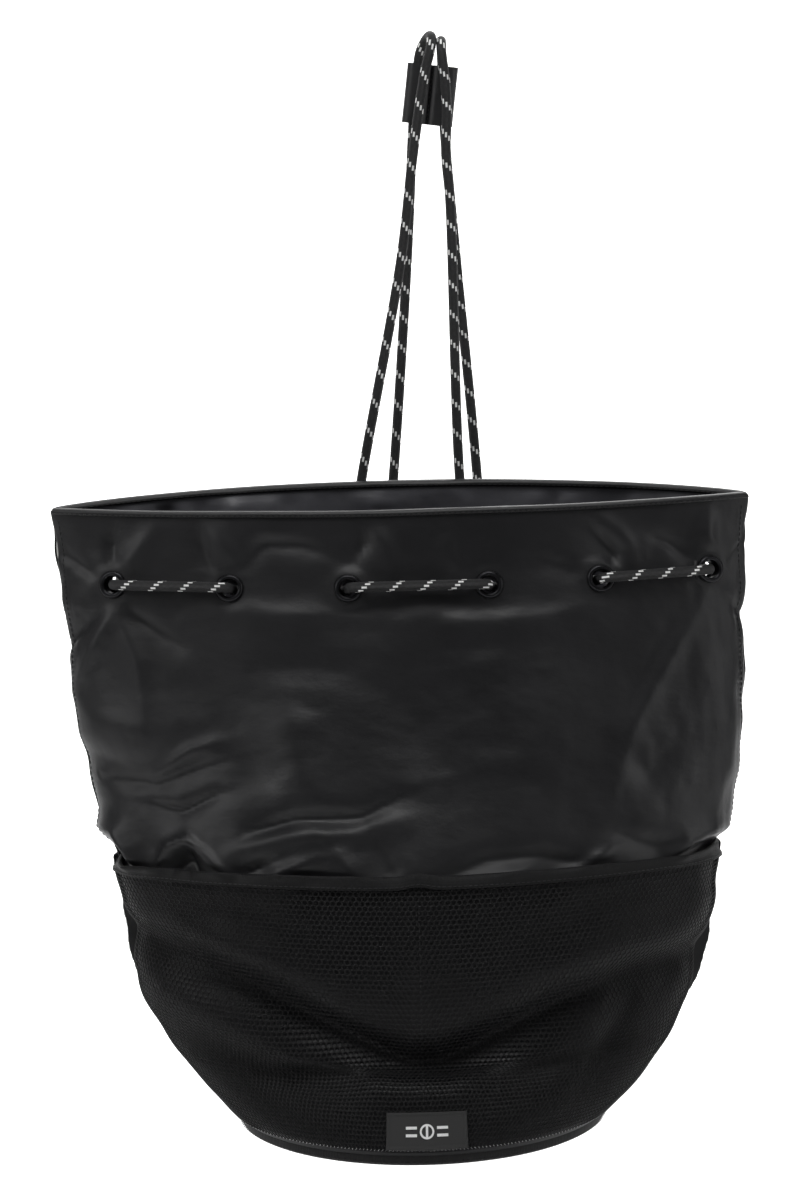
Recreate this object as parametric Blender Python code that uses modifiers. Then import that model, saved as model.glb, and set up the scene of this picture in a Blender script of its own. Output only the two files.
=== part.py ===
"""Drawstring ball bag: a padded bucket bag with mesh pockets round its foot.

The bag is built as it hangs, empty, from a peg. The world's origin is the top of that peg, where
the two cord loops bear. +X is the bag's right as seen from its front, +Y is its back, +Z is up.
The bag's own frame has its origin at the middle of the mouth and leans a little to the left.
"""
from math import acos, cos, pi, radians, sin

import bmesh
import bpy
from mathutils import Matrix, Vector

# ---------------------------------------------------------------- driving sizes, in metres
MOUTH_CENTRE = Vector((-0.0183, -0.010, -0.2769))
LEAN = radians(-1.35)

BASE_RADIUS = 0.1045
BASE_TILT = radians(6.0)
BASE_DROP = 0.3575
BASE_SHIFT = 0.0055
BASE_STEPS = 40
BASE_THICKNESS = 0.0063

LINING = (0.0, 0.0008)
PADDING = (0.0011, 0.0036)
SHELL = (0.0039, 0.0049)
WALL = SHELL[1]
GAP = 0.0003
SEAM_GAP = 0.0005

# The wall's cage: how far down the wall, half width, drop at the side seams, depth and drop at
# the middle of the front, depth and drop at the middle of the back.
BASE_DEPTH = BASE_RADIUS * cos(BASE_TILT)
BASE_RISE = BASE_RADIUS * sin(BASE_TILT)
LEVELS = (
    (0.000, 0.2049, 0.0000, 0.0301, 0.0075, 0.0301, -0.0125),
    (0.115, 0.2014, 0.0420, 0.0341, 0.0520, 0.0345, 0.0310),
    (0.270, 0.1967, 0.0980, 0.0451, 0.1100, 0.0440, 0.0820),
    (0.400, 0.1906, 0.1460, 0.0571, 0.1600, 0.0560, 0.1265),
    (0.500, 0.1837, 0.1820, 0.0681, 0.1970, 0.0660, 0.1620),
    (0.570, 0.1743, 0.2090, 0.0740, 0.2215, 0.0710, 0.1870),
    (0.680, 0.1698, 0.2430, 0.0790, 0.2610, 0.0755, 0.2255),
    (0.780, 0.1640, 0.2755, 0.0790, 0.2990, 0.0765, 0.2600),
    (0.855, 0.1500, 0.3025, 0.0760, 0.3270, 0.0775, 0.2860),
    (0.920, 0.1345, 0.3250, 0.0890, 0.3430, 0.0880, 0.3110),
    (0.965, 0.1200, 0.3425, 0.0985, 0.3560, 0.0970, 0.3285),
    (1.000, BASE_RADIUS, BASE_DROP, BASE_DEPTH, BASE_DROP + BASE_RISE, BASE_DEPTH, BASE_DROP - BASE_RISE),
)
WALL_ROWS = (0.0, 0.055, 0.115, 0.18, 0.27, 0.40, 0.50, 0.57, 0.68, 0.78, 0.855, 0.92, 0.965, 1.0)
WALL_COLUMNS = 18

POCKET_TOP = 0.565
POCKET_ROWS = (POCKET_TOP, 0.60, 0.68, 0.78, 0.855, 0.92, 0.965, 0.995)
POCKET_CLOTH = 0.0013
POCKET_GAPE = 0.0075
BAND_BOTTOM = 0.583
BAND_THICKNESS = 0.0008

HEM_TOP = -0.0032
HEM_BOTTOM = 0.0115
HEM_THICKNESS = 0.0007
HEM_SEAM_GAP = 0.0018

# Eyelets: where they stand across the bag, and how far down the wall.
FRONT_EYELETS = (-0.169, -0.100, -0.031, 0.051, 0.116, 0.181)
FRONT_EYELET_LEVEL = 0.115
BACK_EYELETS = (-0.169, -0.099, -0.029, 0.041, 0.111, 0.181)
BACK_EYELET_LEVEL = 0.128
EYELET_HOLE = 0.0058
EYELET_STEPS = 12
PUNCH_DEPTH = 0.016

CORD_RADIUS = 0.003
ANCHOR_SPREAD = 0.048
ANCHOR_SHIFT = 0.004
TAB_SIZE = (0.020, 0.0090, 0.030)
TAB_SOCKET = 0.0034
TAB_SOCKET_DEPTH = 0.018

KEEPER_SIZE = (0.031, 0.0355)
KEEPER_LEATHER = 0.0010
KEEPER_CHANNEL = (0.014, 0.008)
KEEPER_PLACE = (0.0001, 0.0134, -0.0300)
KEEPER_TURN = (radians(8.0), radians(6.0), 0.0)

LABEL_HALF_WIDTH = 0.0213
LABEL_ROWS = (0.942, 0.966, 0.990)
LABEL_THICKNESS = 0.0016
LABEL_GAP = 0.0009

# ---------------------------------------------------------------- the scene, its frame and materials


def clear_scene():
    """Remove what the file opened with."""
    for thing in list(bpy.data.objects):
        bpy.data.objects.remove(thing)


def new_collection(name):
    collection = bpy.data.collections.new(name)
    bpy.context.scene.collection.children.link(collection)
    return collection


clear_scene()
PARTS = new_collection("ball_bag")
CUTTERS = new_collection("cutters")

FRAME = bpy.data.objects.new("bag_frame", None)
FRAME.location = MOUTH_CENTRE
FRAME.rotation_euler = (0.0, LEAN, 0.0)
PARTS.objects.link(FRAME)
BAG_TO_WORLD = Matrix.Translation(MOUTH_CENTRE) @ Matrix.Rotation(LEAN, 4, "Y")


def material(name, colour, roughness, metallic=0.0):
    made = bpy.data.materials.new(name)
    made.use_nodes = True
    shader = made.node_tree.nodes["Principled BSDF"]
    shader.inputs["Base Color"].default_value = (*colour, 1.0)
    shader.inputs["Roughness"].default_value = roughness
    shader.inputs["Metallic"].default_value = metallic
    return made


SATIN = material("satin_nylon", (0.020, 0.020, 0.022), 0.42)
LINING_CLOTH = material("lining_cloth", (0.035, 0.035, 0.040), 0.38)
WADDING = material("wadding", (0.60, 0.60, 0.58), 0.95)
AIR_MESH = material("air_mesh", (0.010, 0.010, 0.011), 0.75)
TAPE = material("woven_tape", (0.014, 0.014, 0.015), 0.65)
BASE_CLOTH = material("base_cloth", (0.012, 0.012, 0.013), 0.60)
FOAM = material("base_foam", (0.10, 0.10, 0.10), 0.90)
BLACK_METAL = material("black_metal", (0.012, 0.012, 0.013), 0.30, 0.9)
LEATHER = material("leather", (0.018, 0.017, 0.018), 0.50)
RUBBER = material("rubber_patch", (0.016, 0.016, 0.017), 0.55)
BRAID = material("braided_cord", (0.020, 0.020, 0.021), 0.70)

# ---------------------------------------------------------------- the shape of the wall


def smooth(low, high, value):
    """0 below low, 1 above high, with an easy change between."""
    share = min(max((value - low) / (high - low), 0.0), 1.0)
    return share * share * (3.0 - 2.0 * share)


def cage(level):
    """The cage's sizes at one level, read on a smooth curve through LEVELS."""
    last = len(LEVELS) - 2
    k = next((i for i in range(last + 1) if level <= LEVELS[i + 1][0]), last)
    a, b = LEVELS[k], LEVELS[k + 1]
    span = b[0] - a[0]
    share = (level - a[0]) / span
    if not 0.0 <= share <= 1.0:
        return [p + (q - p) * share for p, q in zip(a[1:], b[1:])]
    before, after = LEVELS[max(k - 1, 0)], LEVELS[min(k + 2, last + 1)]
    sizes = []
    for i in range(1, len(a)):
        slope_a = (b[i] - before[i]) / (b[0] - before[0]) * span
        slope_b = (after[i] - a[i]) / (after[0] - a[0]) * span
        s2, s3 = share * share, share * share * share
        sizes.append(
            a[i] * (2 * s3 - 3 * s2 + 1) + slope_a * (s3 - 2 * s2 + share)
            + b[i] * (3 * s2 - 2 * s3) + slope_b * (s3 - s2)
        )
    return sizes


def sharpness(level):
    """Exponent of the section: a lens at the mouth, an ellipse low down."""
    return 1.4 - 0.4 * smooth(0.0, 0.8, level)


def lining_point(angle, level):
    """A point of the wall's inner face. Angle 0 is the right seam, a quarter turn the back."""
    half, side_drop, front, front_drop, back, back_drop = cage(level)
    across, deep = cos(angle), sin(angle)
    depth, middle_drop = (front, front_drop) if deep < 0.0 else (back, back_drop)
    fall = abs(deep) ** (1.6 - 0.6 * smooth(0.6, 1.0, level))
    y = depth * abs(deep) ** sharpness(level) * (1.0 if deep > 0.0 else -1.0)
    shift = BASE_SHIFT * smooth(0.0, 0.6, level)
    return Vector((shift + half * across, y, -(side_drop + (middle_drop - side_drop) * fall)))


def base_matrix(height=0.0):
    """Frame of the base: its +Z points up into the bag."""
    place = Matrix.Translation((BASE_SHIFT, 0.0, -BASE_DROP))
    return place @ Matrix.Rotation(BASE_TILT, 4, "X") @ Matrix.Translation((0.0, 0.0, height))


def outward(angle, level):
    """The wall's outward direction. It turns into the base's own plane at the base seam."""
    step = 0.004
    around = lining_point(angle + step, level) - lining_point(angle - step, level)
    low, high = max(level - step, 0.0), min(level + step, 1.0)
    down = lining_point(angle, high) - lining_point(angle, low)
    normal = down.cross(around).normalized()
    if normal.x * cos(angle) + normal.y * sin(angle) < 0.0:
        normal.negate()
    radial = (base_matrix().to_3x3() @ Vector((cos(angle), sin(angle), 0.0))).normalized()
    share = smooth(0.90, 1.0, level)
    return (normal * (1.0 - share) + radial * share).normalized()


def wall_point(angle, level, offset):
    return lining_point(angle, level) + outward(angle, level) * offset


def seam_angle(level, gap):
    """How far round from the side seam a piece's edge stands, to leave that gap to the seam."""
    depth = cage(level)[2]
    return (gap / depth) ** (1.0 / sharpness(level))


def angles(level, start, columns, gap=SEAM_GAP):
    """A piece's column angles at one level, over half a turn from start."""
    edge = seam_angle(level, gap)
    return [start + edge + (pi - 2.0 * edge) * k / columns for k in range(columns + 1)]


BACK, FRONT = 0.0, pi

# ---------------------------------------------------------------- builders


def add_object(name, mesh, finish, parent=FRAME):
    made = bpy.data.objects.new(name, mesh)
    made.data.materials.append(finish)
    made.parent = parent
    PARTS.objects.link(made)
    return made


def mesh_of(name, bm):
    bmesh.ops.recalc_face_normals(bm, faces=bm.faces)
    mesh = bpy.data.meshes.new(name)
    bm.to_mesh(mesh)
    bm.free()
    return mesh


def closed_grid(name, rings, loops_closed):
    """A closed body from rings of points, one ring for each step along the body.

    Each ring is a closed loop. The first and last rings are capped unless the rings go round.
    """
    bm = bmesh.new()
    made = [[bm.verts.new(p) for p in ring] for ring in rings]
    count = len(made[0])
    steps = len(made) if loops_closed else len(made) - 1
    for k in range(steps):
        here, there = made[k], made[(k + 1) % len(made)]
        for i in range(count):
            j = (i + 1) % count
            bm.faces.new((here[i], here[j], there[j], there[i]))
    if not loops_closed:
        bm.faces.new(made[0])
        bm.faces.new(made[-1])
    return mesh_of(name, bm)


def panel(name, start, rows, columns, inner, outer, finish):
    """A sewn panel: a closed sheet that follows half of the wall between two offsets.

    Every patch is split along the same diagonal, so that neighbouring layers lie parallel.
    """
    bm = bmesh.new()
    faces = []
    for offset in (inner, outer):
        faces.append([
            [bm.verts.new(wall_point(angle, level, offset(angle, level))) for angle in angles(level, start, columns)]
            for level in rows
        ])
    for face in faces:
        for upper, lower in zip(face, face[1:]):
            for k in range(columns):
                bm.faces.new((upper[k], lower[k], lower[k + 1]))
                bm.faces.new((upper[k], lower[k + 1], upper[k + 1]))
    near, far = faces
    borders = (
        (near[0], far[0]), (near[-1], far[-1]),
        ([row[0] for row in near], [row[0] for row in far]),
        ([row[-1] for row in near], [row[-1] for row in far]),
    )
    for edge, other in borders:
        for k in range(len(edge) - 1):
            bm.faces.new((edge[k], edge[k + 1], other[k + 1], other[k]))
    return add_object(name, mesh_of(name, bm), finish)


def constant(value):
    return lambda angle, level: value


def strip(name, start, columns, section, finish, gap=SEAM_GAP):
    """A folded strip that runs from seam to seam. Section lists (level, offset function)."""
    rings = []
    for k in range(columns + 1):
        ring = []
        for level, offset in section:
            angle = angles(max(level, 0.0), start, columns, gap)[k]
            ring.append(wall_point(angle, level, offset(angle, level)))
        rings.append(ring)
    return add_object(name, closed_grid(name, rings, False), finish)


def turned(name, profile, steps, finish, parent=FRAME):
    """A turned piece: a closed profile of (radius, height) swept round its own Z axis."""
    rings = []
    for k in range(steps):
        turn = 2.0 * pi * k / steps
        rings.append([Vector((r * cos(turn), r * sin(turn), h)) for r, h in profile])
    return add_object(name, closed_grid(name, rings, True), finish, parent)


# ---------------------------------------------------------------- wall, base and hem


def make_wall(side, start):
    layers = (
        ("lining", LINING, LINING_CLOTH),
        ("padding", PADDING, WADDING),
        ("shell", SHELL, SATIN),
    )
    made = []
    for layer, (inner, outer), finish in layers:
        name = f"{layer}_{side}"
        made.append(panel(name, start, WALL_ROWS, WALL_COLUMNS, constant(inner), constant(outer), finish))
    return made


def make_hem(side, start):
    """The turned and stitched top edge, which wraps over all three layers."""
    out_far, out_near = constant(WALL + GAP + HEM_THICKNESS), constant(WALL + GAP)
    in_near, in_far = constant(-GAP), constant(-GAP - HEM_THICKNESS)
    under = HEM_TOP + 0.0022
    section = (
        (HEM_BOTTOM, out_far), (HEM_TOP, out_far), (HEM_TOP, in_far), (HEM_BOTTOM, in_far),
        (HEM_BOTTOM, in_near), (under, in_near), (under, out_near), (HEM_BOTTOM, out_near),
    )
    strip(f"rim_hem_{side}", start, WALL_COLUMNS, section, SATIN, HEM_SEAM_GAP)


def disc(name, radius, low, high, finish):
    bpy.ops.mesh.primitive_cylinder_add(vertices=BASE_STEPS, radius=radius, depth=high - low)
    made = bpy.context.object
    made.name = name
    made.data.name = name
    for owner in list(made.users_collection):
        owner.objects.unlink(made)
    PARTS.objects.link(made)
    made.data.materials.append(finish)
    made.parent = FRAME
    made.matrix_parent_inverse = Matrix.Identity(4)
    made.matrix_local = base_matrix((low + high) / 2.0)
    return made


def make_base():
    """A padded base: a shallow cloth tray, a foam disc in it and the lining over that."""
    rim, wall, floor, depth = BASE_RADIUS + 0.0055, 0.0012, 0.0012, BASE_THICKNESS
    top = -GAP
    profile = (
        (rim, top), (rim, -depth + 0.0016), (rim - 0.0016, -depth), (0.0, -depth),
        (0.0, -depth + floor), (rim - 0.0022, -depth + floor), (rim - wall, -depth + 0.0022), (rim - wall, top),
    )
    bm = bmesh.new()
    verts = [bm.verts.new((r, 0.0, h)) for r, h in profile]
    for a, b in zip(verts, verts[1:]):
        if a.co.x > 0.0 or b.co.x > 0.0:
            bm.edges.new((a, b))
    bm.edges.new((verts[-1], verts[0]))
    bmesh.ops.spin(
        bm, geom=bm.verts[:] + bm.edges[:], cent=(0, 0, 0), axis=(0, 0, 1), angle=2 * pi, steps=BASE_STEPS
    )
    bmesh.ops.remove_doubles(bm, verts=bm.verts, dist=1e-5)
    tray = add_object("base_panel", mesh_of("base_panel", bm), BASE_CLOTH)
    tray.matrix_local = base_matrix()
    inside = rim - wall - 0.0004
    disc("base_foam", inside - 0.0012, -depth + floor + GAP, -0.0015, FOAM)
    disc("base_lining", inside, -0.0012, -0.0004, LINING_CLOTH)


# ---------------------------------------------------------------- mesh pockets and their bands


def pocket_inner(angle, level):
    """The mesh stands off the shell most in the middle of each pocket's mouth."""
    mouth = abs(sin(2.0 * angle)) ** 1.3
    open_share = 1.0 - smooth(POCKET_TOP, 0.86, level)
    return WALL + 0.0005 + POCKET_GAPE * mouth * open_share


def pocket_outer(angle, level):
    return pocket_inner(angle, level) + POCKET_CLOTH


def make_pockets(side, start):
    panel(f"mesh_pocket_{side}", start, POCKET_ROWS, WALL_COLUMNS, pocket_inner, pocket_outer, AIR_MESH)
    top = POCKET_TOP - 0.0065
    under = POCKET_TOP - 0.0012
    slim = 0.0002

    def beyond(face, step):
        return lambda angle, level: face(angle, POCKET_TOP) + step

    section = (
        (BAND_BOTTOM, beyond(pocket_outer, slim + BAND_THICKNESS)), (top, beyond(pocket_outer, slim + BAND_THICKNESS)),
        (top, beyond(pocket_inner, -slim)), (under, beyond(pocket_inner, -slim)),
        (under, beyond(pocket_outer, slim)), (BAND_BOTTOM, beyond(pocket_outer, slim)),
    )
    strip(f"pocket_band_{side}", start, WALL_COLUMNS, section, TAPE)


def make_label():
    """The rubber patch, which follows the curve of the mesh just above the base."""
    half = LABEL_HALF_WIDTH / cage(LABEL_ROWS[1])[0]
    columns = [1.5 * pi + half * (k - 3) / 3 for k in range(7)]
    rings = []
    for angle in columns:
        near = [wall_point(angle, m, pocket_outer(angle, m) + LABEL_GAP) for m in LABEL_ROWS]
        far = [wall_point(angle, m, pocket_outer(angle, m) + LABEL_GAP + LABEL_THICKNESS) for m in LABEL_ROWS]
        rings.append(near + far[::-1])
    return add_object("label_patch", closed_grid("label_patch", rings, False), RUBBER)


# ---------------------------------------------------------------- eyelets


def wall_frame(x, level, start):
    """Frame on the wall's inner face: +X along the wall to the right, +Y up it, +Z outward."""
    half, shift = cage(level)[0], BASE_SHIFT * smooth(0.0, 0.6, level)
    angle = acos((x - shift) / half) if start == BACK else 2.0 * pi - acos((x - shift) / half)
    normal = outward(angle, level)
    along = lining_point(angle + 0.01, level) - lining_point(angle - 0.01, level)
    along = along * (1.0 if along.x > 0.0 else -1.0)
    along = (along - normal * along.dot(normal)).normalized()
    up = along.cross(normal)
    up = up if up.z > 0.0 else -up
    made = Matrix((along, up, normal)).transposed().to_4x4()
    made.translation = lining_point(angle, level)
    return made


def eyelet_frames(side):
    places = FRONT_EYELETS if side == "front" else BACK_EYELETS
    level = FRONT_EYELET_LEVEL if side == "front" else BACK_EYELET_LEVEL
    start = FRONT if side == "front" else BACK
    return [wall_frame(x, level, start) for x in places]


def standing(frame, height=0.0):
    """Where a turned piece stands on a wall frame, its own +Z outward."""
    out = frame.to_3x3() @ Vector((0.0, 0.0, 1.0))
    middle = frame @ Vector((0.0, 0.0, height))
    return Matrix.Translation(middle) @ out.to_track_quat("Z", "Y").to_matrix().to_4x4()


def make_eyelets(side):
    barrel = (
        (0.0050, WALL + 0.0011), (0.0062, WALL + 0.0013), (0.0080, WALL + 0.0007), (0.0080, WALL + 0.00035),
        (0.0055, WALL + 0.00035), (0.0055, -0.0014), (0.0066, -0.0016), (0.0050, -0.0020),
    )
    washer = ((0.0059, -0.00045), (0.0080, -0.00045), (0.0080, -0.0011), (0.0059, -0.0011))
    for k, frame in enumerate(eyelet_frames(side), 1):
        for name, profile in ((f"eyelet_{side}_{k}", barrel), (f"washer_{side}_{k}", washer)):
            turned(name, profile, EYELET_STEPS, BLACK_METAL).matrix_local = standing(frame)


def punch(side, layers):
    """Cut the eyelet holes through every layer of one wall."""
    bm = bmesh.new()
    for frame in eyelet_frames(side):
        bmesh.ops.create_cone(
            bm, cap_ends=True, segments=EYELET_STEPS, radius1=EYELET_HOLE, radius2=EYELET_HOLE, depth=PUNCH_DEPTH,
            matrix=standing(frame, WALL / 2.0),
        )
    cutter = bpy.data.objects.new(f"eyelet_holes_{side}", mesh_of(f"eyelet_holes_{side}", bm))
    cutter.parent = FRAME
    cutter.hide_render = True
    cutter.display_type = "WIRE"
    CUTTERS.objects.link(cutter)
    for layer in layers:
        cut = layer.modifiers.new("eyelet_holes", "BOOLEAN")
        cut.operation = "DIFFERENCE"
        cut.solver = "EXACT"
        cut.object = cutter


# ---------------------------------------------------------------- the cord and what holds it

# The strands between the peg and the back of the bag, in world metres, top to bottom.
LEFT_FRONT_STRAND = (
    (0.0002, -0.0090, -0.0060), (-0.0033, -0.0072, -0.0208), (-0.0102, 0.0003, -0.0678),
    (-0.0174, 0.0099, -0.1300), (-0.0419, 0.0300, -0.2644),
)
LEFT_REAR_STRAND = (
    (-0.0062, 0.0092, -0.0060), (-0.0076, 0.0113, -0.0180), (-0.0088, 0.0137, -0.0300),
    (-0.0102, 0.0170, -0.0497), (-0.0137, 0.0312, -0.1278), (-0.0223, 0.0555, -0.2624),
)
LEFT_LOOP = ((0.0008, -0.0066, 0.0002), (-0.0004, -0.0005, 0.0030), (-0.0034, 0.0062, 0.0004))
RIGHT_FRONT_STRAND = (
    (0.0068, -0.0090, -0.0090), (0.0090, -0.0066, -0.0260), (0.0100, -0.0036, -0.0417),
    (0.0096, 0.0003, -0.0678), (0.0121, 0.0044, -0.0948), (0.0186, 0.0300, -0.2627),
)
RIGHT_REAR_STRAND = (
    (0.0072, 0.0092, -0.0090), (0.0083, 0.0137, -0.0300), (0.0090, 0.0170, -0.0505),
    (0.0163, 0.0312, -0.1270), (0.0300, 0.0555, -0.2617),
)
RIGHT_LOOP = ((0.0066, -0.0062, -0.0025), (0.0066, 0.0000, 0.0000), (0.0070, 0.0064, -0.0026))

OUTSIDE_RUN, OUTSIDE_BEND, INSIDE_BEND, INSIDE_RUN = 0.0099, 0.0090, -0.0049, -0.0058
RUN_START, BEND_START = 0.0080, 0.0024


def crossing(frame, outside, inside):
    """The cord's points through one eyelet, from outside to inside.

    Outside and inside are the directions in which the cord leaves the eyelet on each face, as
    (along, up). Without an inside direction it goes straight on into the bag.
    """
    def at(direction, reach, height):
        return frame @ Vector((direction[0] * reach, direction[1] * reach, height))

    points = [at(outside, RUN_START, OUTSIDE_RUN), at(outside, BEND_START, OUTSIDE_BEND)]
    if inside is None:
        return points + [at(outside, 0.0010, 0.0045), at(outside, 0.0010, -0.0020)]
    points += [at(outside, 0.0002, 0.0045), at(inside, 0.0002, -0.0002)]
    return points + [at(inside, BEND_START, INSIDE_BEND), at(inside, RUN_START, INSIDE_RUN)]


def woven_points():
    """The cord's way through all twelve eyelets, in bag metres, from back centre left to right."""
    left, right, up = (-1.0, 0.0), (1.0, 0.0), (0.0, 1.0)
    front, back = eyelet_frames("front"), eyelet_frames("back")
    points = crossing(back[2], up, left)
    points += reversed(crossing(back[1], left, right))
    points += crossing(back[0], right, None)
    points += reversed(crossing(front[0], right, None))
    points += crossing(front[1], left, right)
    points += reversed(crossing(front[2], right, left))
    points += crossing(front[3], left, right)
    points += reversed(crossing(front[4], right, left))
    points += crossing(front[5], left, None)
    points += reversed(crossing(back[5], left, None))
    points += crossing(back[4], right, left)
    points += reversed(crossing(back[3], up, right))
    return points


def tab_frame(side):
    """Frame of an anchor tab, in bag metres: +Z up its cord, +Y away from the bag."""
    x = BASE_SHIFT + ANCHOR_SHIFT + side * ANCHOR_SPREAD
    foot = wall_frame(x, 0.985, BACK)
    strand = LEFT_REAR_STRAND if side < 0 else RIGHT_REAR_STRAND
    angle = acos((x - BASE_SHIFT) / cage(0.985)[0])
    start = foot @ Vector((0.0, 0.0, pocket_outer(angle, 0.985) + 0.0006 + TAB_SIZE[1] / 2.0))
    up = (BAG_TO_WORLD.inverted() @ Vector(strand[-1]) - start).normalized()
    out = foot.to_3x3() @ Vector((0.0, 0.0, 1.0))
    out = (out - up * out.dot(up)).normalized()
    made = Matrix((out.cross(up), out, up)).transposed().to_4x4()
    made.translation = start + up * TAB_SIZE[2] / 2.0
    return made


def make_tab(name, side):
    """A folded leather tab, sewn in at the base seam, with a socket for the cord's end."""
    bm = bmesh.new()
    bmesh.ops.create_cube(bm, size=1.0, matrix=Matrix.Diagonal((*TAB_SIZE, 1.0)))
    made = add_object(name, mesh_of(name, bm), LEATHER)
    made.matrix_local = tab_frame(side)
    soften = made.modifiers.new("soft_edges", "BEVEL")
    soften.width = 0.0018
    soften.segments = 2

    bm = bmesh.new()
    top = TAB_SIZE[2] / 2.0
    bmesh.ops.create_cone(
        bm, cap_ends=True, segments=EYELET_STEPS, radius1=TAB_SOCKET, radius2=TAB_SOCKET, depth=2 * TAB_SOCKET_DEPTH,
        matrix=Matrix.Translation((0.0, 0.0, top)),
    )
    cutter = bpy.data.objects.new(f"{name}_socket", mesh_of(f"{name}_socket", bm))
    cutter.parent = FRAME
    cutter.matrix_local = tab_frame(side)
    cutter.hide_render = True
    cutter.display_type = "WIRE"
    CUTTERS.objects.link(cutter)
    cut = made.modifiers.new("socket", "BOOLEAN")
    cut.solver = "EXACT"
    cut.object = cutter


def cord_points():
    """The whole cord in world metres, from the left anchor to the right one."""
    def end(side):
        frame = BAG_TO_WORLD @ tab_frame(side)
        top = TAB_SIZE[2] / 2.0
        return [frame @ Vector((0.0, 0.0, top - TAB_SOCKET_DEPTH + 0.0005)), frame @ Vector((0.0, 0.0, top + 0.004))]

    def half_way(a, b):
        return (Vector(a) + Vector(b)) / 2.0

    left, right = end(-1), end(1)
    points = left + [half_way(left[1], LEFT_REAR_STRAND[-1])]
    points += reversed(LEFT_REAR_STRAND)
    points += reversed(LEFT_LOOP)
    points += LEFT_FRONT_STRAND
    points += [BAG_TO_WORLD @ p for p in woven_points()]
    points += reversed(RIGHT_FRONT_STRAND)
    points += RIGHT_LOOP
    points += RIGHT_REAR_STRAND
    points += [half_way(right[1], RIGHT_REAR_STRAND[-1])] + right[::-1]
    return [Vector(p) for p in points]


def make_cord():
    curve = bpy.data.curves.new("drawcord", "CURVE")
    curve.dimensions = "3D"
    curve.bevel_depth = CORD_RADIUS
    curve.bevel_resolution = 2
    curve.use_fill_caps = True
    points = cord_points()
    line = curve.splines.new("POLY")
    line.points.add(len(points) - 1)
    for made, point in zip(line.points, points):
        made.co = (*point, 1.0)
    return add_object("drawcord", curve, BRAID, None)


def stadium(width, height, centre, steps):
    """Points of a slot outline with round ends."""
    radius, reach = height / 2.0, (width - height) / 2.0
    points = []
    for end, start in ((1.0, -0.5 * pi), (-1.0, 0.5 * pi)):
        for k in range(steps + 1):
            turn = start + pi * k / steps
            points.append((centre + end * reach + radius * cos(turn), radius * sin(turn)))
    return points


def make_keeper():
    """Two flat leather sleeves side by side, one for each strap strand."""
    width, height = KEEPER_SIZE
    wide, thick = KEEPER_CHANNEL
    outer_thick = thick + 2.0 * KEEPER_LEATHER
    pitch = (wide + KEEPER_LEATHER) / 2.0
    curve = bpy.data.curves.new("cord_keeper", "CURVE")
    curve.dimensions = "2D"
    curve.fill_mode = "BOTH"
    curve.extrude = height / 2.0
    outlines = [stadium(width, outer_thick, 0.0, 6), stadium(wide, thick, -pitch, 6), stadium(wide, thick, pitch, 6)]
    for outline in outlines:
        line = curve.splines.new("POLY")
        line.points.add(len(outline) - 1)
        line.use_cyclic_u = True
        for made, (x, y) in zip(line.points, outline):
            made.co = (x, y, 0.0, 1.0)
    sketch = bpy.data.objects.new("keeper_outline", curve)
    PARTS.objects.link(sketch)
    flat = bpy.data.meshes.new_from_object(sketch.evaluated_get(bpy.context.evaluated_depsgraph_get()))
    bpy.data.objects.remove(sketch)
    bm = bmesh.new()
    bm.from_mesh(flat)
    bpy.data.meshes.remove(flat)
    bmesh.ops.remove_doubles(bm, verts=bm.verts, dist=1e-5)
    made = add_object("cord_keeper", mesh_of("cord_keeper", bm), LEATHER, None)
    made.location = KEEPER_PLACE
    made.rotation_euler = KEEPER_TURN
    return made


for side_name, side_start in (("front", FRONT), ("back", BACK)):
    wall_layers = make_wall(side_name, side_start)
    punch(side_name, wall_layers)
    make_hem(side_name, side_start)
    make_pockets(side_name, side_start)
    make_eyelets(side_name)
make_base()
make_label()
make_tab("anchor_tab_left", -1)
make_tab("anchor_tab_right", 1)
make_cord()
make_keeper()
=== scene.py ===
"""The looks of a drawstring ball bag: satin wall, air-mesh pockets, woven drawcord and leather keeper.

The bag hangs from a peg at the origin, +Y towards its back. The wall's sizes and the cord's route
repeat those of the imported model, and every layer of the wall follows one field of folds.
"""
from math import cos, pi, radians, sin, sqrt

import bmesh
import bpy
import numpy as np
from mathutils import Matrix, Vector
from mathutils.kdtree import KDTree


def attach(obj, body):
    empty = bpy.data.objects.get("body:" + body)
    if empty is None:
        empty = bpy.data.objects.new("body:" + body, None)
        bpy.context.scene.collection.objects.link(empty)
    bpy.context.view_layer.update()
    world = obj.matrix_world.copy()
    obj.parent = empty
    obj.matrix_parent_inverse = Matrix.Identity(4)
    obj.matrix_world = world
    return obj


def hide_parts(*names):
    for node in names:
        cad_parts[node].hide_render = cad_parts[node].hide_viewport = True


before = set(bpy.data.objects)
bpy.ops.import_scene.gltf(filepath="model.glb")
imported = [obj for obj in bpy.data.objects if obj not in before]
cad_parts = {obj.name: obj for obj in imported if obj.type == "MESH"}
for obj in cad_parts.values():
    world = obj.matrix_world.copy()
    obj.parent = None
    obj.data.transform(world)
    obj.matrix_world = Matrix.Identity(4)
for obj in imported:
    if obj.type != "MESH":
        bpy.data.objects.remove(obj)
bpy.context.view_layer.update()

bl_info = {
    "name": "Drawstring Ball Bag",
    "version": (1, 0, 0),
    "blender": (4, 5, 0),
    "location": "3D View > Sidebar > Ball Bag",
    "description": "Builds the visible pieces of a padded drawstring ball bag",
    "category": "Add Mesh",
}

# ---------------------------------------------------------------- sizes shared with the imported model

MOUTH_CENTRE = Vector((-0.0183, -0.010, -0.2769))
LEAN = radians(-1.35)
BASE_RADIUS = 0.1045
BASE_TILT = radians(6.0)
BASE_DROP = 0.3575
BASE_SHIFT = 0.0055
BASE_DEPTH = BASE_RADIUS * cos(BASE_TILT)
BASE_RISE = BASE_RADIUS * sin(BASE_TILT)
WALL = 0.0049

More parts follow.
